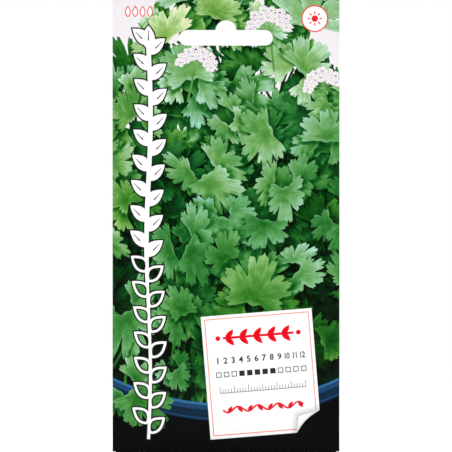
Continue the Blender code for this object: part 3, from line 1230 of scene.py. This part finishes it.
# %% Tones of the ground
SKY_START = 96
SKY_END = 130
PALE_SKY = 0.985
corners = spots[faces].reshape(-1, 2)
corner_shape = np.repeat(shown, 3)
height = corners[:, 1] - BOTTOM
wavy = 5 * np.sin(corners[:, 0] * 0.3)
sky = smoothstep(SKY_START, SKY_END, height + 0.45 * np.abs(corners[:, 0]) + wavy)
gloom = 0.04 * np.sin(corners[:, 0] * 1.1 + 3 * np.sin(height * 0.5)) * np.sin(height * 0.9)
deep = 0.03 + 0.06 * smoothstep(15, 110, height) + gloom * smoothstep(20, 60, height)
tone = deep * (1 - sky) + PALE_SKY * sky
warmth = np.zeros(len(tone))
rib = np.full(len(tone), 5.0)
along = np.full(len(tone), 5.0)
fan = np.zeros(len(tone))
shade = np.ones(len(tone))
print(f"{sky.mean():.0%} of the corners would be sky")

# %% Tones and veins of the leaves
order = np.argsort(corner_shape, kind="stable")
starts = np.searchsorted(corner_shape[order], np.arange(len(sheet) + 1))
for k, shape in enumerate(sheet):
    own = order[starts[k]:starts[k + 1]]
    if not len(own):
        continue
    if "shade" in shape.facts:
        shade[own] = shape.facts["shade"](corners[own])
    if "stem" in shape.facts:
        tone[own] = shape.facts["stem"]
        warmth[own] = 0.25
    if "leaf" in shape.facts:
        leaf = shape.facts["leaf"]
        away, turn = leaf.seen_from_stalk(corners[own])
        reach, across = leaf.reach(turn)
        out = np.clip(away / reach, 0, 1)
        side_light = 0.07 * across * math.sin(leaf.heading + 0.8) * out
        turned_light = 0.12 * away * np.cos(turn - leaf.light)
        tone[own] = leaf.tone + turned_light + side_light + 0.11 * smoothstep(0.35, 1, out)
        tone[own] -= 0.08 * (1 - smoothstep(0, 0.5, out))
        warmth[own] = leaf.warmth + 0.35 * (0.6 - out)
        rib[own] = np.abs(across) * away * leaf.length * 0.5
        along[own] = away * leaf.length
        fan[own] = turn * leaf.length * 0.6 + leaf.streak
print("corners on leaves:", int((along < 5).sum()))

# %% Shade that the leaves cast
SHADE_REACH = 1.5
SHADE_DEPTH = 0.46
SHADE_OFFSET = (-0.6, 0.8)
SPREAD = 3 * SHADE_REACH
by_height = np.argsort(corners[:, 1], kind="stable")
sorted_heights = corners[by_height, 1]
is_picture = np.array([shape.ink == "foliage" for shape in sheet])[corner_shape] & (corner_shape >= 0)
for k, shape in enumerate(sheet):
    if "leaf" not in shape.facts:
        continue
    leaf = shape.facts["leaf"]
    first, last = np.searchsorted(sorted_heights, (shape.low[1] - SPREAD, shape.high[1] + SPREAD))
    rows = by_height[first:last]
    near = (corners[rows, 0] > shape.low[0] - SPREAD) & (corners[rows, 0] < shape.high[0] + SPREAD)
    rows = rows[near & (corner_shape[rows] < k) & is_picture[rows]]
    away, turn = leaf.seen_from_stalk(corners[rows] + SHADE_OFFSET)
    gap = np.maximum((away - leaf.reach(turn)[0]) * leaf.length, 0)
    cast = SHADE_DEPTH * np.exp(-(gap**2) / (2 * SHADE_REACH**2))
    tone[rows] *= 1 - cast * (1 - smoothstep(0.86, 0.95, tone[rows]))
print(f"tones from {tone[is_picture].min():.2f} to {tone[is_picture].max():.2f}")

# %% [markdown]
# ## The unprinted side and the cut edge
#
# The sheet has a thickness, so it has an inner side and a cut edge. A Solidify modifier could make them,
# but the inner side would get as many triangles as the print. It is seen only through the slot and the
# open ends, so it gets a much coarser cutting. It takes over the exact points of the outer side's edge,
# so the two sides close with one strip of paper edge all round.

# %% Cut the inner side to the same edge
INNER_GAP = 2.6


def open_edges(faces):
    """Directed edges that only one triangle has."""
    edges = np.concatenate([faces[:, [0, 1]], faces[:, [1, 2]], faces[:, [2, 0]]])
    have = set(map(tuple, edges.tolist()))
    return np.array([edge for edge in have if edge[::-1] not in have])


edge_of_sheet = open_edges(faces)
edge_of_sheet = edge_of_sheet[np.lexsort(edge_of_sheet.T)]
edge_points, packed = np.unique(edge_of_sheet, return_inverse=True)
inner = Cutting()
inner.points.append(spots[edge_points])
inner.edges = [tuple(edge) for edge in packed.reshape(-1, 2).tolist()]
inner.count = len(edge_points)
for line in fold_lines(INNER_GAP):
    first = inner.count
    inner.add(line[1:-1], closed=False)
    for place, end in ((inner.count - 1, line[-1]), (first, line[0])):
        nearest = np.argmin(np.linalg.norm(spots[edge_points] - end, axis=1))
        inner.edges.append((place, int(nearest)))
inner.strew((BACK_U, FLAP_FOOT - FLAP_HEIGHT), (TAB_U, TOP), INNER_GAP)
inner_spots, inner_faces = inner.triangles()
inner_faces = on_paper(inner_spots, inner_faces)
print(len(inner_faces), "inner triangles")

# %% Match the two edges
inner_rim = np.unique(open_edges(inner_faces))
apart = np.linalg.norm(spots[edge_points][:, None] - inner_spots[inner_rim][None], axis=2)
partner = dict(zip(edge_points.tolist(), inner_rim[apart.argmin(1)].tolist()))
print(f"the two edges are at most {apart.min(1).max():.5f} mm apart")

# %% Fold the sheet and join its two sides
outer_used, outer_packed = np.unique(faces, return_inverse=True)
inner_used, inner_packed = np.unique(inner_faces, return_inverse=True)
outer_place = dict(zip(outer_used.tolist(), range(len(outer_used))))
inner_place = dict(zip(inner_used.tolist(), range(len(outer_used), len(outer_used) + len(inner_used))))
places = np.concatenate([
    folded(spots[outer_used], PAPER / 2),
    folded(inner_spots[inner_used], -PAPER / 2),
])
rim_faces = []
for a, b in edge_of_sheet.tolist():
    a_in, b_in = inner_place[partner[a]], inner_place[partner[b]]
    a, b = outer_place[a], outer_place[b]
    rim_faces += [(b, a, a_in), (b, a_in, b_in)]
all_faces = np.concatenate([
    outer_packed.reshape(-1, 3),
    len(outer_used) + inner_packed.reshape(-1, 3)[:, ::-1],
    np.array(rim_faces),
])
mesh = bpy.data.meshes.new("packet_paper")
mesh.from_pydata((places * MM).tolist(), [], all_faces.tolist())
packet = in_scene("packet_paper", mesh)
print("open edges left:", len(open_edges(all_faces)), "on", len(mesh.polygons), "faces")

# %% [markdown]
# ## Values that the materials read
#
# Each corner carries its values to the materials as named attributes. They could be painted on an image,
# but the corners already lie where the print changes. The crease value is highest on the folds, where
# handling breaks the ink. A flat map of the whole sheet goes in too, under the name that the export bakes
# materials through: the inner side and the edge take a small corner of it that the blank leaves free.

# %% Named attributes
SIDE_WEAR = 0.42
FOOT_WEAR = 0.6
outer_corners = len(faces) * 3
side_crease = np.exp(-((np.abs(np.abs(corners[:, 0]) - FOLD_X - SIDE_ARC / 2) / SIDE_WEAR) ** 2))
foot_crease = np.exp(-((np.abs(corners[:, 1] - FOLD_Z + FOOT_ARC / 2) / FOOT_WEAR) ** 2))
foot_crease *= np.abs(corners[:, 0]) < FLAP_X
corner_values = {
    "tone": (tone, 0.0),
    "warmth": (warmth, 0.0),
    "rib": (rib, 0.0),
    "along": (along, 0.0),
    "fan": (fan, 0.0),
    "shade": (shade, 1.0),
    "crease": (np.maximum(side_crease, foot_crease), 0.0),
}
for name, (values, inside) in corner_values.items():
    everything = np.full(len(mesh.loops), inside, np.float32)
    everything[:outer_corners] = values
    mesh.attributes.new(name, "FLOAT", "CORNER").data.foreach_set("value", everything)
print("attributes:", ", ".join(corner_values))

# %% The flat map
INNER_SCALE = 0.13
INNER_PLACE = 2
MARGIN = 1.01
flat_corner = np.array((BACK_U, blank[:, 1].min()))
size = max(TAB_U - BACK_U, TOP - flat_corner[1]) * MARGIN
flat_outer = spots[outer_used] - flat_corner
flat_inner = (inner_spots[inner_used] - flat_corner) * INNER_SCALE + INNER_PLACE
loop_verts = all_faces.reshape(-1)
uv = (np.concatenate([flat_outer, flat_inner]) / size)[loop_verts]
rim_start = len(uv) - 3 * len(rim_faces)
rim_outer = np.flatnonzero(loop_verts[rim_start:] < len(outer_used)) + rim_start
uv[rim_outer] = (flat_outer[loop_verts[rim_outer]] * INNER_SCALE * MARGIN + INNER_PLACE) / size
mesh.uv_layers.new(name="OFBake").data.foreach_set("uv", uv.astype(np.float32).ravel())
print("map covers", (flat_outer.max(0) / size).round(2))

# %% [markdown]
# ## A helper for node trees
#
# Materials and the fruits below are trees of nodes. One small function adds any node with its settings,
# its values, its links and, on a colour ramp, its stops. Colours are written as the sRGB hex values that
# a printer would give, and another function turns them to the linear values that Blender counts in.

# %% Adding a node
PER_MM = 1 / MM


def linear(hex_colour):
    """An sRGB hex colour as linear values."""
    values = [int(hex_colour[k:k + 2], 16) / 255 for k in (0, 2, 4)]
    return (*(v / 12.92 if v <= 0.04045 else ((v + 0.055) / 1.055) ** 2.4 for v in values), 1.0)


def add(tree, kind, links=None, values=None, stops=(), **settings):
    """Adds a node: what its inputs are linked from, its input values, its colour stops and its settings."""
    node = tree.nodes.new(kind)
    for name, value in settings.items():
        setattr(node, name, value)
    for name, value in (values or {}).items():
        node.inputs[name].default_value = value
    for name, source in (links or {}).items():
        tree.links.new(source, node.inputs[name])
    for k, (position, hex_colour) in enumerate(stops):
        ramp = node.color_ramp.elements
        stop = ramp[k] if k < len(ramp) else ramp.new(1)
        stop.position = position
        stop.color = linear(hex_colour)
    return node


def new_material(name):
    made = bpy.data.materials.new(name)
    made.use_nodes = True
    made.node_tree.nodes.clear()
    return made, made.node_tree


print("half grey is", round(linear("808080")[0], 3), "in linear light")

# %% [markdown]
# ## Coated paper under varnish
#
# The sheet is coated art paper, offset printed and sealed with a satin varnish. Its clay coating fills
# the fibres, so the eye sees even, saturated ink with a soft, wide sheen and no mirror image. Handling
# has cracked the ink along the folds, where the pale paper shows. All inks share this one finish, and
# each brings a function for its own colour.

# %% Coated paper
MIX_A, MIX_B, MIX_RESULT = 6, 7, 2
WORN_PAPER = "EEE9E0"
CRACK_SIZE = 0.6
SHEEN_SPOTS = 4
FIBRE_SIZE = 0.25


def uneven(tree, place, size, low, high, detail):
    """Soft spots of a size in millimetres, spread between two values."""
    spots = add(tree, "ShaderNodeTexNoise", {"Vector": place}, {"Scale": PER_MM / size, "Detail": detail})
    return add(tree, "ShaderNodeMapRange", {"Value": spots.outputs["Fac"]},
               {"From Min": 0.3, "From Max": 0.7, "To Min": low, "To Max": high}).outputs[0]


def coated_paper(name, colour_of, roughness, fibre=0.02):
    """Art paper with a clay coating: ink or bare coating by colour_of, broken along the folds."""
    made, tree = new_material(name)
    place = add(tree, "ShaderNodeTexCoord").outputs["Object"]
    crease = add(tree, "ShaderNodeAttribute", attribute_name="crease").outputs["Fac"]
    cracks = add(tree, "ShaderNodeTexNoise", {"Vector": place},
                 {"Scale": PER_MM / CRACK_SIZE, "Detail": 3.0})
    broken = add(tree, "ShaderNodeMath", {0: crease, 1: cracks.outputs["Fac"]}, operation="MULTIPLY")
    bare = add(tree, "ShaderNodeMapRange", {"Value": broken.outputs[0]},
               {"From Min": 0.52, "From Max": 0.66, "To Max": 0.3})
    colour = add(tree, "ShaderNodeMix", {0: bare.outputs[0], MIX_A: colour_of(tree, place)},
                 {MIX_B: linear(WORN_PAPER)}, data_type="RGBA")
    gloss = uneven(tree, place, SHEEN_SPOTS, roughness - 0.04, roughness + 0.04, 2.0)
    # Real fibres are a tenth as wide; these are as fine as the render can show.
    fibres = add(tree, "ShaderNodeTexNoise", {"Vector": place},
                 {"Scale": PER_MM / FIBRE_SIZE, "Detail": 4.0, "Roughness": 0.6})
    grain = add(tree, "ShaderNodeBump", {"Height": fibres.outputs["Fac"]},
                {"Strength": fibre, "Distance": 0.05 * MM})
    shader = add(tree, "ShaderNodeBsdfPrincipled",
                 {"Base Color": colour.outputs[MIX_RESULT], "Roughness": gloss, "Normal": grain.outputs[0]},
                 {"IOR": 1.5, "Specular IOR Level": 0.06})
    add(tree, "ShaderNodeOutputMaterial", {"Surface": shader.outputs[0]})
    return made


print("varnish spots of", SHEEN_SPOTS, "mm")

# %% [markdown]
# ## Solid inks
#
# White, black, red and the other single colours are solid areas of ink. A press never lays them quite
# evenly, and the eye takes the faint mottle for print instead of paint. The card's printed shade darkens
# them too.

# %% A solid ink
MOTTLE_SIZE = 0.8


def flat_ink(hex_colour, mottle=0.03):
    """A solid ink: a faint mottle of the press, and the shade printed into the artwork."""
    def colour_of(tree, place):
        even = uneven(tree, place, MOTTLE_SIZE, 1 - mottle, 1 + mottle, 3.0)
        printed = add(tree, "ShaderNodeAttribute", attribute_name="shade").outputs["Fac"]
        level = add(tree, "ShaderNodeMath", {0: even, 1: printed}, operation="MULTIPLY")
        lit = add(tree, "ShaderNodeVectorMath", {"Scale": level.outputs[0]}, {0: linear(hex_colour)[:3]},
                  operation="SCALE")
        return lit.outputs[0]
    return colour_of


print("the press mottles its inks in spots of", MOTTLE_SIZE, "mm")

# %% [markdown]
# ## Leaf greens
#
# The picture is printed in many greens, from nearly black in the depth to a milky green at the tips, and
# a pale violet white for the sky. One colour ramp holds them all. A young leaf is yellower and an old one
# bluer, and each has a pale rib down every lobe and fine streaks that fan out from its stalk.

# %% The greens of the picture
TONES = (
    (0, "020602"), (0.1, "07230A"), (0.18, "063D11"), (0.27, "14561E"), (0.35, "256D26"),
    (0.42, "397F35"), (0.48, "4A8D45"), (0.53, "599952"), (0.57, "67A35F"), (0.62, "78AE70"),
    (0.67, "87B884"), (0.72, "93C399"), (0.8, "B4DAB9"), (0.92, "E2EDE4"), (1, "F3ECF3"),
)
# What a leaf's colour is multiplied by at the warm and at the cool end
TINTS = ((1.0, (1.45, 1.1, 0.35, 1)), (-1.0, (0.72, 1.0, 1.5, 1)))
RIB = 0.05
STREAK = 0.05
VEIN_GAP = 0.9
LEAF_SPOTS = 3.3


def veins(tree, values):
    """How much lighter or darker ribs and streaks make the tone: none at the stalk, where they meet."""
    outwards = add(tree, "ShaderNodeMath", {0: values["along"]}, {1: 0.16}, operation="MULTIPLY")
    sweep = add(tree, "ShaderNodeCombineXYZ", {0: values["fan"], 1: outwards.outputs[0]})
    streaks = add(tree, "ShaderNodeTexNoise", {"Vector": sweep.outputs[0]},
                  {"Scale": 1 / VEIN_GAP, "Detail": 2.0, "Roughness": 0.6})
    streaky = add(tree, "ShaderNodeMapRange", {"Value": streaks.outputs["Fac"]},
                  {"From Min": 0.3, "From Max": 0.7, "To Min": -STREAK, "To Max": STREAK})
    rib = add(tree, "ShaderNodeMapRange", {"Value": values["rib"]},
              {"From Min": 0.06, "From Max": 0.34, "To Min": RIB, "To Max": 0.0})
    drawn = add(tree, "ShaderNodeMath", {0: rib.outputs[0], 1: streaky.outputs[0]}, operation="ADD")
    away = add(tree, "ShaderNodeMapRange", {"Value": values["along"]}, {"From Min": 0.8, "From Max": 3.5})
    return drawn.outputs[0], away.outputs[0]


def foliage_colour(tree, place):
    """Greens from the tones and the veins, warmer or cooler from leaf to leaf."""
    values = {
        name: add(tree, "ShaderNodeAttribute", attribute_name=name).outputs["Fac"]
        for name in ("tone", "warmth", "rib", "along", "fan")
    }
    drawn, away = veins(tree, values)
    patchy = uneven(tree, place, LEAF_SPOTS, -0.05, 0.05, 4.0)
    change = add(tree, "ShaderNodeMath", {0: drawn, 1: away, 2: patchy}, operation="MULTIPLY_ADD")
    leafy = add(tree, "ShaderNodeMapRange", {"Value": values["tone"]}, {"From Min": 0.97, "From Max": 0.9})
    level = add(tree, "ShaderNodeMath", {0: change.outputs[0], 1: leafy.outputs[0], 2: values["tone"]},
                operation="MULTIPLY_ADD")
    colour = add(tree, "ShaderNodeValToRGB", {"Fac": level.outputs[0]}, stops=TONES).outputs[0]
    for end, tint in TINTS:
        share = add(tree, "ShaderNodeMapRange", {"Value": values["warmth"]}, {"From Max": end})
        mixed = add(tree, "ShaderNodeMix", {0: share.outputs[0], MIX_A: colour}, {MIX_B: tint},
                    data_type="RGBA", blend_type="MULTIPLY")
        colour = mixed.outputs[MIX_RESULT]
    return colour


print("tone stops:", len(TONES))

# %% [markdown]
# ## Putting the inks on the sheet
#
# Each ink is a material of its own, because each has its own gloss: bare coating is a little duller than
# solid ink under varnish. The inner side is uncoated, so it looks matt and fibrous, and the cut edge
# shows the paper's duller core.

# %% Inks
INKS = {
    "paper white": ("F6F5F1", 0.36),
    "white": ("FDFDFC", 0.35),
    "black": ("191919", 0.32),
    "pink red": ("EB4A57", 0.32),
    "signal red": ("E62C38", 0.32),
    "salmon": ("F58C6E", 0.33),
    "heading red": ("E8081F", 0.32),
    "wave red": ("E2152C", 0.32),
    "figure grey": ("2C2C2C", 0.32),
    "rule grey": ("787878", 0.33),
    "pot shade": ("020303", 0.32),
    "pot rim": ("0E2840", 0.32),
    "pot rim mid": ("1A4368", 0.32),
    "pot rim light": ("2F6A9C", 0.32),
    "petal edge": ("CDBFD3", 0.33),
    "petal": ("FBF5FA", 0.33),
    "petal heart": ("C9CF78", 0.33),
    "tint green": ("CFE5BE", 0.34),
    "leaf green": ("4E9A4A", 0.32),
    "earth": ("7A5232", 0.32),
    "earth tint": ("EFE3D3", 0.34),
}
UNCOATED = "E9E4D8"
CORE = "EFECE4"
materials = {"foliage": coated_paper("coated paper, offset printed leaves", foliage_colour, 0.32)}
for ink, (hex_colour, roughness) in INKS.items():
    materials[ink] = coated_paper("coated paper, " + ink, flat_ink(hex_colour), roughness)
materials["inside"] = coated_paper("art paper, uncoated side", flat_ink(UNCOATED, 0.05), 0.8, fibre=0.3)
materials["cut edge"] = coated_paper("paper core, guillotine cut", flat_ink(CORE, 0.06), 0.85, fibre=0.3)
print(len(materials), "materials")

# %% Ink on the triangles
slot_of = {name: k for k, name in enumerate(materials)}
for made in materials.values():
    mesh.materials.append(made)
shape_slots = np.array([slot_of.get(shape.ink, 0) for shape in sheet] + [slot_of["paper white"]])
face_slots = np.concatenate([
    shape_slots[shown],
    np.full(len(inner_faces), slot_of["inside"]),
    np.full(len(rim_faces), slot_of["cut edge"]),
])
mesh.polygons.foreach_set("material_index", face_slots.astype(np.int32))
mesh.shade_smooth()
mesh.set_sharp_from_angle(angle=math.radians(50))
mesh.update()
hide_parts("envelope")
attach(packet, "root")
print(f"{(face_slots == slot_of['foliage']).mean():.0%} of the triangles are picture")

# %% [markdown]
# ## The fruits inside
#
# Coriander is sown as its dry fruit: a globe of three or four millimetres with straight ribs from pole to
# pole. Forty-five lie loose in the packet. They could be modelled one by one, but they repeat, so
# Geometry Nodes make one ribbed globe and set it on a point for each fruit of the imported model.

# %% A tree that makes one ribbed fruit
FRUIT_SIDES = 40
FRUIT_RINGS = 18
RIBS = 10.0
RIB_DEPTH = 0.035
FRUIT_LENGTH = 1.06


def ribbed_globe(tree, given):
    """A globe of width 1, its ribs highest round the belt, and the height of the ribs kept for the husk."""
    globe = add(tree, "GeometryNodeMeshUVSphere",
                values={"Segments": FRUIT_SIDES, "Rings": FRUIT_RINGS, "Radius": 0.5})
    spot = add(tree, "GeometryNodeInputPosition").outputs[0]
    x, y, z = add(tree, "ShaderNodeSeparateXYZ", {0: spot}).outputs
    turn = add(tree, "ShaderNodeMath", {0: y, 1: x}, operation="ARCTAN2")
    phase = add(tree, "ShaderNodeMath", {0: turn.outputs[0], 1: given["Ribs"]}, operation="MULTIPLY")
    wave = add(tree, "ShaderNodeMath", {0: phase.outputs[0]}, operation="COSINE")
    high_up = add(tree, "ShaderNodeMath", {0: z, 1: z}, operation="MULTIPLY")
    belt = add(tree, "ShaderNodeMath", {0: high_up.outputs[0]}, {1: -4.0, 2: 1.0}, operation="MULTIPLY_ADD")
    ridge = add(tree, "ShaderNodeMath", {0: wave.outputs[0], 1: belt.outputs[0]}, operation="MULTIPLY")
    grow = add(tree, "ShaderNodeMath", {0: ridge.outputs[0], 1: given["Rib depth"]}, {2: 1.0},
               operation="MULTIPLY_ADD").outputs[0]
    stretched = [
        add(tree, "ShaderNodeMath", {0: side, 1: by}, operation="MULTIPLY").outputs[0]
        for side, by in ((x, grow), (y, grow), (z, given["Length"]))
    ]
    shape = add(tree, "ShaderNodeCombineXYZ", dict(enumerate(stretched)))
    ribbed = add(tree, "GeometryNodeSetPosition",
                 {"Geometry": globe.outputs["Mesh"], "Position": shape.outputs[0]})
    kept = add(tree, "GeometryNodeStoreNamedAttribute",
               {"Geometry": ribbed.outputs[0], "Value": ridge.outputs[0]},
               {"Name": "ridge"}, data_type="FLOAT", domain="POINT")
    return add(tree, "GeometryNodeSetShadeSmooth", {"Geometry": kept.outputs[0]}).outputs[0]


print("a fruit has", RIBS, "ribs and", FRUIT_SIDES * FRUIT_RINGS, "faces")

# %% Copies on points
def fruit_tree():
    tree = bpy.data.node_groups.new("ribbed fruits on points", "GeometryNodeTree")
    sockets = (
        ("Points", "INPUT", "NodeSocketGeometry"),
        ("Ribs", "INPUT", "NodeSocketFloat"),
        ("Rib depth", "INPUT", "NodeSocketFloat"),
        ("Length", "INPUT", "NodeSocketFloat"),
        ("Husk", "INPUT", "NodeSocketMaterial"),
        ("Fruits", "OUTPUT", "NodeSocketGeometry"),
    )
    for name, in_out, kind in sockets:
        tree.interface.new_socket(name, in_out=in_out, socket_type=kind)
    given = add(tree, "NodeGroupInput").outputs
    spin = add(tree, "GeometryNodeInputNamedAttribute", values={"Name": "spin"}, data_type="FLOAT_VECTOR")
    girth = add(tree, "GeometryNodeInputNamedAttribute", values={"Name": "girth"}, data_type="FLOAT")
    copies = add(tree, "GeometryNodeInstanceOnPoints", {
        "Points": given["Points"],
        "Instance": ribbed_globe(tree, given),
        "Rotation": spin.outputs[0],
        "Scale": girth.outputs[0],
    })
    solid = add(tree, "GeometryNodeRealizeInstances", {"Geometry": copies.outputs[0]})
    dressed = add(tree, "GeometryNodeSetMaterial",
                  {"Geometry": solid.outputs[0], "Material": given["Husk"]})
    add(tree, "NodeGroupOutput", {0: dressed.outputs[0]})
    return tree


grower_tree = fruit_tree()
print("tree nodes:", len(grower_tree.nodes))

# %% [markdown]
# ## The husk of a dried fruit
#
# A sun-dried husk is dry, brittle and slightly waxy, so it looks dull and straw brown, lighter on the
# ribs and darker between them. The tree above has kept the height of the ribs for this material.

# %% Husk
HUSK_SPOTS = 1.1
HUSK_GRAIN = 0.17
HUSK_COLOURS = ((0.22, "6E4A26"), (0.78, "C9A468"))


def dried_husk():
    made, tree = new_material("coriander husk, sun dried")
    place = add(tree, "ShaderNodeTexCoord").outputs["Object"]
    ridge = add(tree, "ShaderNodeAttribute", attribute_name="ridge").outputs["Fac"]
    cloud = add(tree, "ShaderNodeTexNoise", {"Vector": place},
                {"Scale": PER_MM / HUSK_SPOTS, "Detail": 5.0})
    level = add(tree, "ShaderNodeMath", {0: ridge, 2: cloud.outputs["Fac"]}, {1: 0.28},
                operation="MULTIPLY_ADD")
    straw = add(tree, "ShaderNodeValToRGB", {"Fac": level.outputs[0]}, stops=HUSK_COLOURS)
    fine = add(tree, "ShaderNodeTexNoise", {"Vector": place}, {"Scale": PER_MM / HUSK_GRAIN, "Detail": 4.0})
    grain = add(tree, "ShaderNodeBump", {"Height": fine.outputs["Fac"]},
                {"Strength": 0.35, "Distance": 0.05 * MM})
    shader = add(tree, "ShaderNodeBsdfPrincipled",
                 {"Base Color": straw.outputs[0], "Normal": grain.outputs[0]},
                 {"Roughness": 0.62, "IOR": 1.5})
    add(tree, "ShaderNodeOutputMaterial", {"Surface": shader.outputs[0]})
    return made


husk = dried_husk()
print("husk grain of", HUSK_GRAIN, "mm")

# %% Growing the fruits
FRUIT_SEED = 21
GIRTH = 0.97
draw = random.Random(FRUIT_SEED)
point_mesh = bpy.data.meshes.new("fruit points")
point_mesh.from_pydata((seed_middles * MM).tolist(), [], [])
girths = [min(b - a) * MM * GIRTH for a, b in seed_boxes]
spins = [draw.uniform(0, 2 * math.pi) for _ in range(3 * len(seed_boxes))]
point_mesh.attributes.new("girth", "FLOAT", "POINT").data.foreach_set("value", girths)
point_mesh.attributes.new("spin", "FLOAT_VECTOR", "POINT").data.foreach_set("vector", spins)
grower = in_scene("fruit points", point_mesh)
modifier = grower.modifiers.new("fruits", "NODES")
modifier.node_group = grower_tree
inputs = {"Ribs": RIBS, "Rib depth": RIB_DEPTH, "Length": FRUIT_LENGTH, "Husk": husk}
for socket in grower_tree.interface.items_tree:
    if socket.name in inputs:
        modifier[socket.identifier] = inputs[socket.name]
fruit_mesh = evaluated_mesh(grower)
bpy.data.objects.remove(grower)
fruits = in_scene("coriander_fruits", fruit_mesh)
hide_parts(*seed_names)
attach(fruits, "root")
print(len(seed_names), "fruits,", len(fruit_mesh.polygons), "faces")

# %% [markdown]
# ## The dried glue
#
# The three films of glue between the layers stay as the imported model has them. Dried dispersion glue is
# clear to milky, so the eye sees a pale yellow film with a soft gloss, a little uneven where the roller
# left it.

# %% Glue
ROLLER_MARKS = 2.5
GLUE_COLOURS = ((0.3, "D8CFB4"), (0.7, "EFE8D4"))


def dried_glue():
    made, tree = new_material("dispersion glue, roller applied")
    place = add(tree, "ShaderNodeTexCoord").outputs["Object"]
    marks = add(tree, "ShaderNodeTexNoise", {"Vector": place},
                {"Scale": PER_MM / ROLLER_MARKS, "Detail": 4.0})
    milky = add(tree, "ShaderNodeValToRGB", {"Fac": marks.outputs["Fac"]}, stops=GLUE_COLOURS)
    bump = add(tree, "ShaderNodeBump", {"Height": marks.outputs["Fac"]},
               {"Strength": 0.4, "Distance": 0.05 * MM})
    shader = add(tree, "ShaderNodeBsdfPrincipled",
                 {"Base Color": milky.outputs[0], "Normal": bump.outputs[0]},
                 {"Roughness": 0.35, "IOR": 1.48})
    add(tree, "ShaderNodeOutputMaterial", {"Surface": shader.outputs[0]})
    return made


glue = dried_glue()
films = [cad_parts[name] for name in ("header_glue", "side_glue", "flap_glue")]
for film in films:
    if not film.material_slots:
        film.data.materials.append(glue)
    for slot in film.material_slots:
        slot.material = glue
print("glue on", len(films), "films")

# %% [markdown]
# ## The table
#
# The packet stands on its foot on a pale table, which is only the stage. Matt laminate reflects no
# lights, so nothing on it draws the eye from the print.

# %% Table
FLOOR_SIZE = 1.0
FLOOR_DROP = 0.0004
FLOOR_CLOUDS = 330
FLOOR_COLOURS = ((0.3, "F1F1F0"), (0.7, "F6F6F5"))


def floor_material():
    made, tree = new_material("matt white laminate")
    place = add(tree, "ShaderNodeTexCoord").outputs["Object"]
    cloud = add(tree, "ShaderNodeTexNoise", {"Vector": place},
                {"Scale": PER_MM / FLOOR_CLOUDS, "Detail": 3.0})
    pale = add(tree, "ShaderNodeValToRGB", {"Fac": cloud.outputs["Fac"]}, stops=FLOOR_COLOURS)
    shader = add(tree, "ShaderNodeBsdfPrincipled", {"Base Color": pale.outputs[0]},
                 {"Roughness": 0.9, "Specular IOR Level": 0.2})
    add(tree, "ShaderNodeOutputMaterial", {"Surface": shader.outputs[0]})
    return made


half = FLOOR_SIZE / 2
floor_z = BOTTOM * MM - FLOOR_DROP
floor_corners = [(x, y, floor_z) for x, y in ((-half, -half), (half, -half), (half, half), (-half, half))]
floor_mesh = bpy.data.meshes.new("floor")
floor_mesh.from_pydata(floor_corners, [], [(0, 1, 2, 3)])
floor_mesh.materials.append(floor_material())
in_scene("floor", floor_mesh)
print("table", FLOOR_SIZE, "m wide")

# %% [markdown]
# ## Light
#
# The photograph is a flat, even product shot on white. Two large softboxes at the sides, as on a copy
# stand, light the print evenly and keep their reflection out of the varnish. Weaker ones behind do the
# same for the back, and a wide overhead light fills in from above. The world is white to the camera
# alone, so that it doesn't wash out the print.

# %% Lamps and world
SOFTBOX = (0.5, 0.9)
SOFTBOX_PLACE = Vector((0.98, 0.72, 0.2))
FRONT_WATTS = 7.1
BACK_WATTS = 5.6
OVERHEAD = 3.3
AMBIENT = 0.03
middle = Vector((0, 0, (TOP + BOTTOM) / 2 * MM))
for depth, watts in ((-1, FRONT_WATTS), (1, BACK_WATTS)):
    for side in (-1, 1):
        lamp = bpy.data.lights.new("softbox", "AREA")
        lamp.shape = "RECTANGLE"
        lamp.size, lamp.size_y = SOFTBOX
        lamp.energy = watts
        away = SOFTBOX_PLACE * Vector((side, depth, 1))
        holder = in_scene("softbox", lamp)
        holder.location = middle + away
        holder.rotation_euler = (-away).to_track_quat("-Z", "Y").to_euler()
overhead = bpy.data.lights.new("overhead", "SUN")
overhead.energy = OVERHEAD
overhead.angle = math.radians(50)
in_scene("overhead", overhead)

world = bpy.data.worlds.new("white studio")
world.use_nodes = True
world.node_tree.nodes.clear()
sky_tree = world.node_tree
camera_ray = add(sky_tree, "ShaderNodeLightPath").outputs["Is Camera Ray"]
bright = add(sky_tree, "ShaderNodeMapRange", {"Value": camera_ray}, {"To Min": AMBIENT, "To Max": 1.0})
glow = add(sky_tree, "ShaderNodeBackground", {"Strength": bright.outputs[0]}, {"Color": (1, 1, 1, 1)})
add(sky_tree, "ShaderNodeOutputWorld", {"Surface": glow.outputs[0]})
bpy.context.scene.world = world
bpy.context.scene.view_settings.view_transform = "Standard"
print("softboxes stand", round(SOFTBOX_PLACE.length, 2), "m off")

# %% [markdown]
# ## Camera
#
# The packet is seen straight on and fills the height of the frame, which just cuts its top and bottom. A
# long lens from far away keeps its sides parallel.

# %% Camera
PHOTO_SIZE = 452
LENS = 250
SENSOR = 36
CLOSE_CROP = 1.004
camera_data = bpy.data.cameras.new("camera")
camera_data.lens = LENS
camera_data.sensor_width = SENSOR
camera_data.clip_end = 20
camera = in_scene("camera", camera_data)
distance = (TOP - BOTTOM) / 2 * MM / (SENSOR / 2 / LENS) / CLOSE_CROP
camera.location = middle + Vector((0, -distance - (LAYER + PAPER) / 2 * MM, 0))
camera.rotation_euler = (math.radians(90), 0, 0)
bpy.context.scene.camera = camera
print(f"the lens stands {distance:.2f} m off; one pixel is {(TOP - BOTTOM) / PHOTO_SIZE:.2f} mm")
